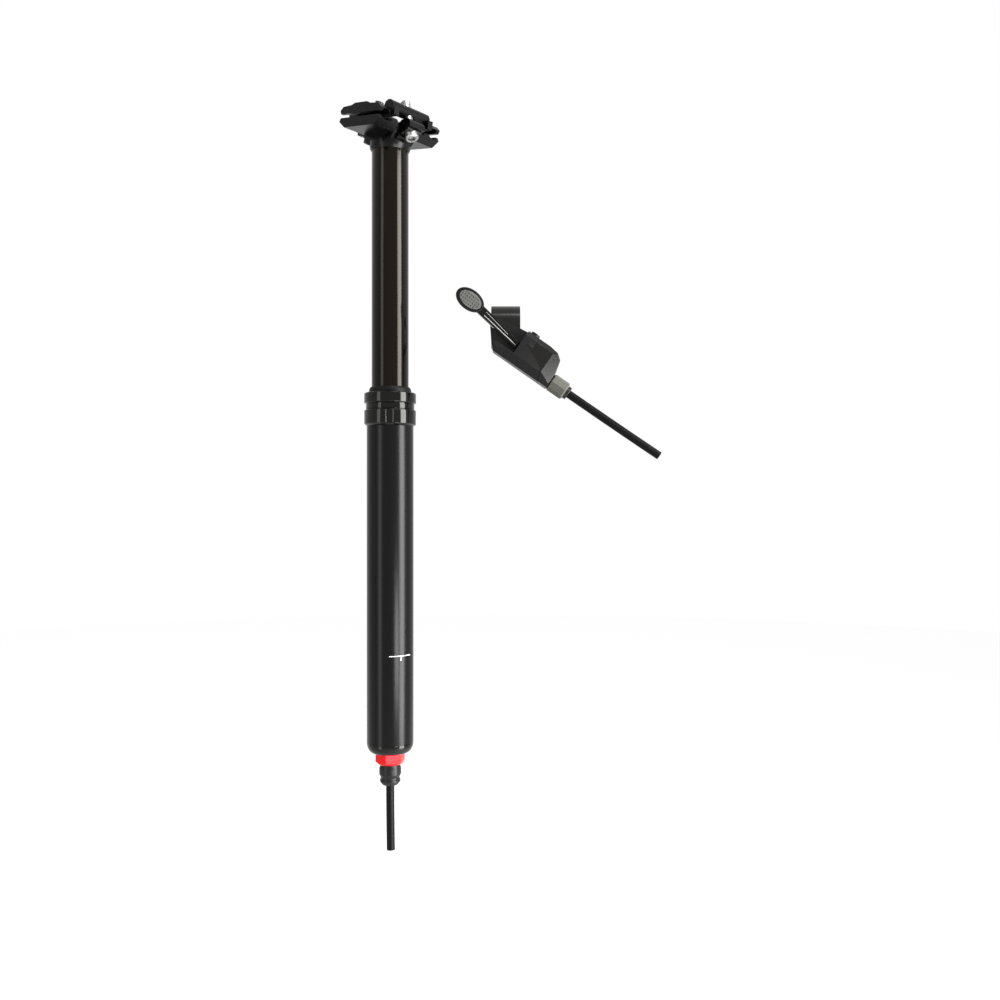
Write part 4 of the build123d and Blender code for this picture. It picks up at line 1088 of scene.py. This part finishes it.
@dataclass
class ClampBolt:
    """One clamp bolt with its washer, its barrel nut and the thread that shows past the nut."""

    name: str
    bolt_body: Body
    nut_body: Body
    finish: Finish
    foot: Vector
    nut: Vector
    past_nut: float
    nut_clear: float = 6.0
    pitch: float = 0.8
    thread_radius: float = 2.9

    def build(self) -> None:
        """Make and dress every piece."""
        for part, width, finish, body in (
            ("bolt", 0.25, self.finish, self.bolt_body),
            ("bolt_washer", 0.25, DARK_STEEL, self.bolt_body),
            ("barrel_nut", 0.2, FORGED_BLACK, self.nut_body),
        ):
            dress(f"{self.name}_{part}", width, finish, body)
        up = (self.nut - self.foot).normalized()
        across = Vector((0, 1, 0))
        start = self.nut + up * self.nut_clear * MM
        place = Place(start, across, up.cross(across), up)
        count = int((self.past_nut - self.nut_clear) / self.pitch)
        rings = thread_rings(
            f"{self.name}_thread", place, self.thread_radius, self.pitch, count, self.finish
        )
        finish_piece(rings, self.finish, self.bolt_body)


@dataclass
class ThumbRemote:
    """The remote: its housing, handlebar band, paddle and speed dial."""

    pad_u: float = -24.4
    pad_n: float = 12.0
    pad_half_length: float = 8.25
    pad_half_width: float = 5.0
    pad_face: float = 2.35
    stud_spacing: float = 1.55
    arm_angle: float = 14.0
    arm_n: float = 5.5
    arm_face: float = 1.6
    pivot_u: float = 24.0
    pivot_w: float = 3.0
    channel_start: float = 7.4
    channel_end: float = 36.4
    turn: float = 40.0
    drop: float = 34.8
    remote_side: float = 67.9
    remote_height: float = 59.2
    place: Place = field(init=False)

    def __post_init__(self) -> None:
        """Work out the remote's directions: u along the hose, n up across it, w to the viewer."""
        turn, drop = math.radians(self.turn), math.radians(self.drop)
        side = Vector((math.cos(turn), math.sin(turn), 0))
        along = side * math.cos(drop) - Vector((0, 0, math.sin(drop)))
        out = Vector((math.sin(turn), -math.cos(turn), 0))
        origin = (side * self.remote_side + Vector((0, 0, self.remote_height))) * MM
        self.place = Place(origin, along, out.cross(along), out)

    def build(self) -> None:
        """Make and dress every piece."""
        for node, width, finish, body in (
            ("remote_body", 0.8, MATTE_PLASTIC, Body.FIXED),
            ("remote_cover", 0.8, BLACK_PLASTIC, Body.FIXED),
            ("bar_band", 1.4, BLACK_PLASTIC, Body.FIXED),
            ("band_bolt", 0.25, DARK_STEEL, Body.FIXED),
            ("hose_ferrule", 0.3, DARK_STEEL, Body.FIXED),
            ("pivot_pin", 0.3, DARK_STEEL, Body.FIXED),
            ("paddle_arm", 0.7, COLLAR_BLACK, Body.PADDLE),
            ("paddle_pad", 0.3, PAD_GREY, Body.PADDLE),
            ("speed_dial", 0.5, DIAL_GREY, Body.DIAL),
        ):
            dress(node, width, finish, body, LARGE_EDGE)
        self.studs()
        self.edges()

    def arm(self) -> Place:
        """The arm's own directions: a out to the paddle, b down across it, c to the thumb."""
        lean = math.radians(self.arm_angle)
        out = self.place.z * math.sin(lean) - self.place.x * math.cos(lean)
        face = self.place.z * math.cos(lean) + self.place.x * math.sin(lean)
        pivot = self.place.point(self.pivot_u, self.arm_n, self.pivot_w)
        return Place(pivot, out, face.cross(out), face)

    def edges(self) -> None:
        """Thin grey strips along the edges of the arm's channel: a painted highlight that stands in for light
        reflected there.
        """
        arm = self.arm()
        for name, low, high, start, radius in ARM_HIGHLIGHT_STRIPS:
            last = Vector((self.channel_end, high, self.arm_face))
            first = Vector((self.channel_start, low, self.arm_face)).lerp(last, start)
            run = (last - first).length
            way = (arm.point(*last) - arm.point(*first)).normalized()
            place = Place(arm.point(*first), arm.z, way.cross(arm.z), way)
            outline = [
                (0, 0), (radius / 2, 0), (radius, radius), (radius, run - radius),
                (radius / 2, run), (0, run),
            ]
            highlight_strip = lathe(name, place, outline, 12)
            finish_piece(highlight_strip, PAINTED_HIGHLIGHT_GREY, Body.PADDLE)

    def studs(self) -> None:
        """The studs that give the thumb its grip."""
        reach = (self.pivot_u - self.pad_u) / math.cos(math.radians(self.arm_angle))
        place = self.arm().at(reach, self.arm_n - self.pad_n, self.pad_face)
        studs = grip_studs(
            "pad_studs", place, self.pad_half_length, self.pad_half_width,
            self.stud_spacing, PAD_GREY,
        )
        finish_piece(studs, PAD_GREY, Body.PADDLE)


@dataclass
class Hose:
    """One free hose, as a smooth curve through its route, with its ends closed flat."""

    name: str
    node: str
    route: list[Vector]
    length: float
    diameter: float = 5.6

    def build(self) -> None:
        data = bpy.data.curves.new(self.name, "CURVE")
        data.dimensions = "3D"
        data.bevel_depth = self.diameter / 2 * MM
        data.bevel_resolution = 8
        data.resolution_u = 24
        data.use_fill_caps = True
        spline = data.splines.new("NURBS")
        spline.points.add(len(self.route) - 1)
        for point, spot in zip(spline.points, self.route):
            point.co = (*spot, 1.0)
        spline.order_u = 3
        spline.use_endpoint_u = True
        piece = bpy.data.objects.new(self.name, data)
        bpy.context.scene.collection.objects.link(piece)
        data.materials.append(MATERIALS[HOSE_BLACK.name])
        finish_piece(piece, HOSE_BLACK, Body.FIXED, (self.node,))


@dataclass
class Spring:
    """A coil spring, copied from its CAD node."""

    node: str
    joint: str
    axis: Vector
    anchor: Vector
    keep: float

    def build(self) -> None:
        """Copy the CAD coil."""
        form = bmesh.new()
        form.from_mesh(frame["nodes"][self.node].data)
        bmesh.ops.remove_doubles(form, verts=form.verts, dist=CAD_MERGE)
        piece = new_piece(f"{self.node}_coil", form, COIL_CREASE)
        finish_piece(piece, BRIGHT_STEEL, Body.FIXED, (self.node,))
        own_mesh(piece)


INNER_PIECES: dict[str, Finish] = {
    "upper_bushing": BEARING_PLASTIC, "lower_bushing": BEARING_PLASTIC,
    "pivot_bushing": BEARING_PLASTIC, "inner_shaft": BRIGHT_STEEL, "poppet": BRIGHT_STEEL,
    "poppet_spring": BRIGHT_STEEL, "master_spring": BRIGHT_STEEL, "main_piston": BRASS,
    "floating_piston": BRASS, "master_piston": BRASS, "guide_keys": BRASS, "air_valve": BRASS,
    "piston_seal": BLACK_RUBBER, "floating_seal": BLACK_RUBBER, "shaft_seal": BLACK_RUBBER,
    "master_seal": BLACK_RUBBER, "topout_bumper": BLACK_RUBBER, "valve_cage": DARK_STEEL,
    "seal_head": DARK_STEEL, "bleed_screw": DARK_STEEL, "band_screw": DARK_STEEL,
}


def dress_nodes() -> None:
    """Give every CAD node the finish of its material slot, shown or not."""
    by_slot = {finish.name: finish for finish in FINISHES}
    slots = {part["node"]: part["material_slot"] for part in frame["record"]["subparts"]}
    for name, node in frame["nodes"].items():
        finish = INNER_PIECES.get(name, by_slot[slots[name]])
        node.data.materials.clear()
        node.data.materials.append(MATERIALS[finish.name])
        log.info("%s is dressed in %s", name, finish.name)


def joint_place(name: str) -> Vector:
    """Where the frame's joint of this name turns."""
    return Vector(next(joint["pos_m"] for joint in frame["joints"] if joint["name"] == name))


def main() -> None:
    """Build the studio and the object, one sub-assembly after the other."""
    logging.basicConfig(level=logging.INFO, format="%(name)s: %(message)s")
    Studio().build()
    dress_nodes()
    LowerTube().build()
    UpperPost().build()
    RailClamp().build()
    ClampBolt(
        "front", Body.FRONT_BOLT, Body.FRONT_NUT, BRIGHT_STEEL,
        joint_place("front_bolt_lean"), joint_place("front_nut_turn"), 8.5,
    ).build()
    ClampBolt(
        "rear", Body.REAR_BOLT, Body.REAR_NUT, DARK_STEEL,
        joint_place("rear_bolt_lean"), joint_place("rear_nut_turn"), 10.5,
    ).build()
    remote = ThumbRemote()
    remote.build()
    Spring(
        "master_spring", "plunger_slide", axis=remote.place.x,
        anchor=remote.place.point(*MASTER_SPRING_FOOT), keep=0.71,
    ).build()
    Spring(
        "poppet_spring", "poppet_lift", axis=POST.z,
        anchor=POST.point(*POPPET_SPRING_FOOT), keep=0.81,
    ).build()
    Hose(
        "post_hose_jacket", "post_hose",
        route=[POST.point(*spot) for spot in ((0, 0, -237.5), (0, 0, -262.5), (0.7, 0, -287.5))],
        length=50.01,
    ).build()
    Hose(
        "remote_hose_jacket", "remote_hose",
        route=[remote.place.point(*spot) for spot in ((56, 0, 0), (97.86, 0, 0), (139.72, 0.7, 0))],
        length=83.72,
    ).build()


if __name__ == "__main__":
    main()
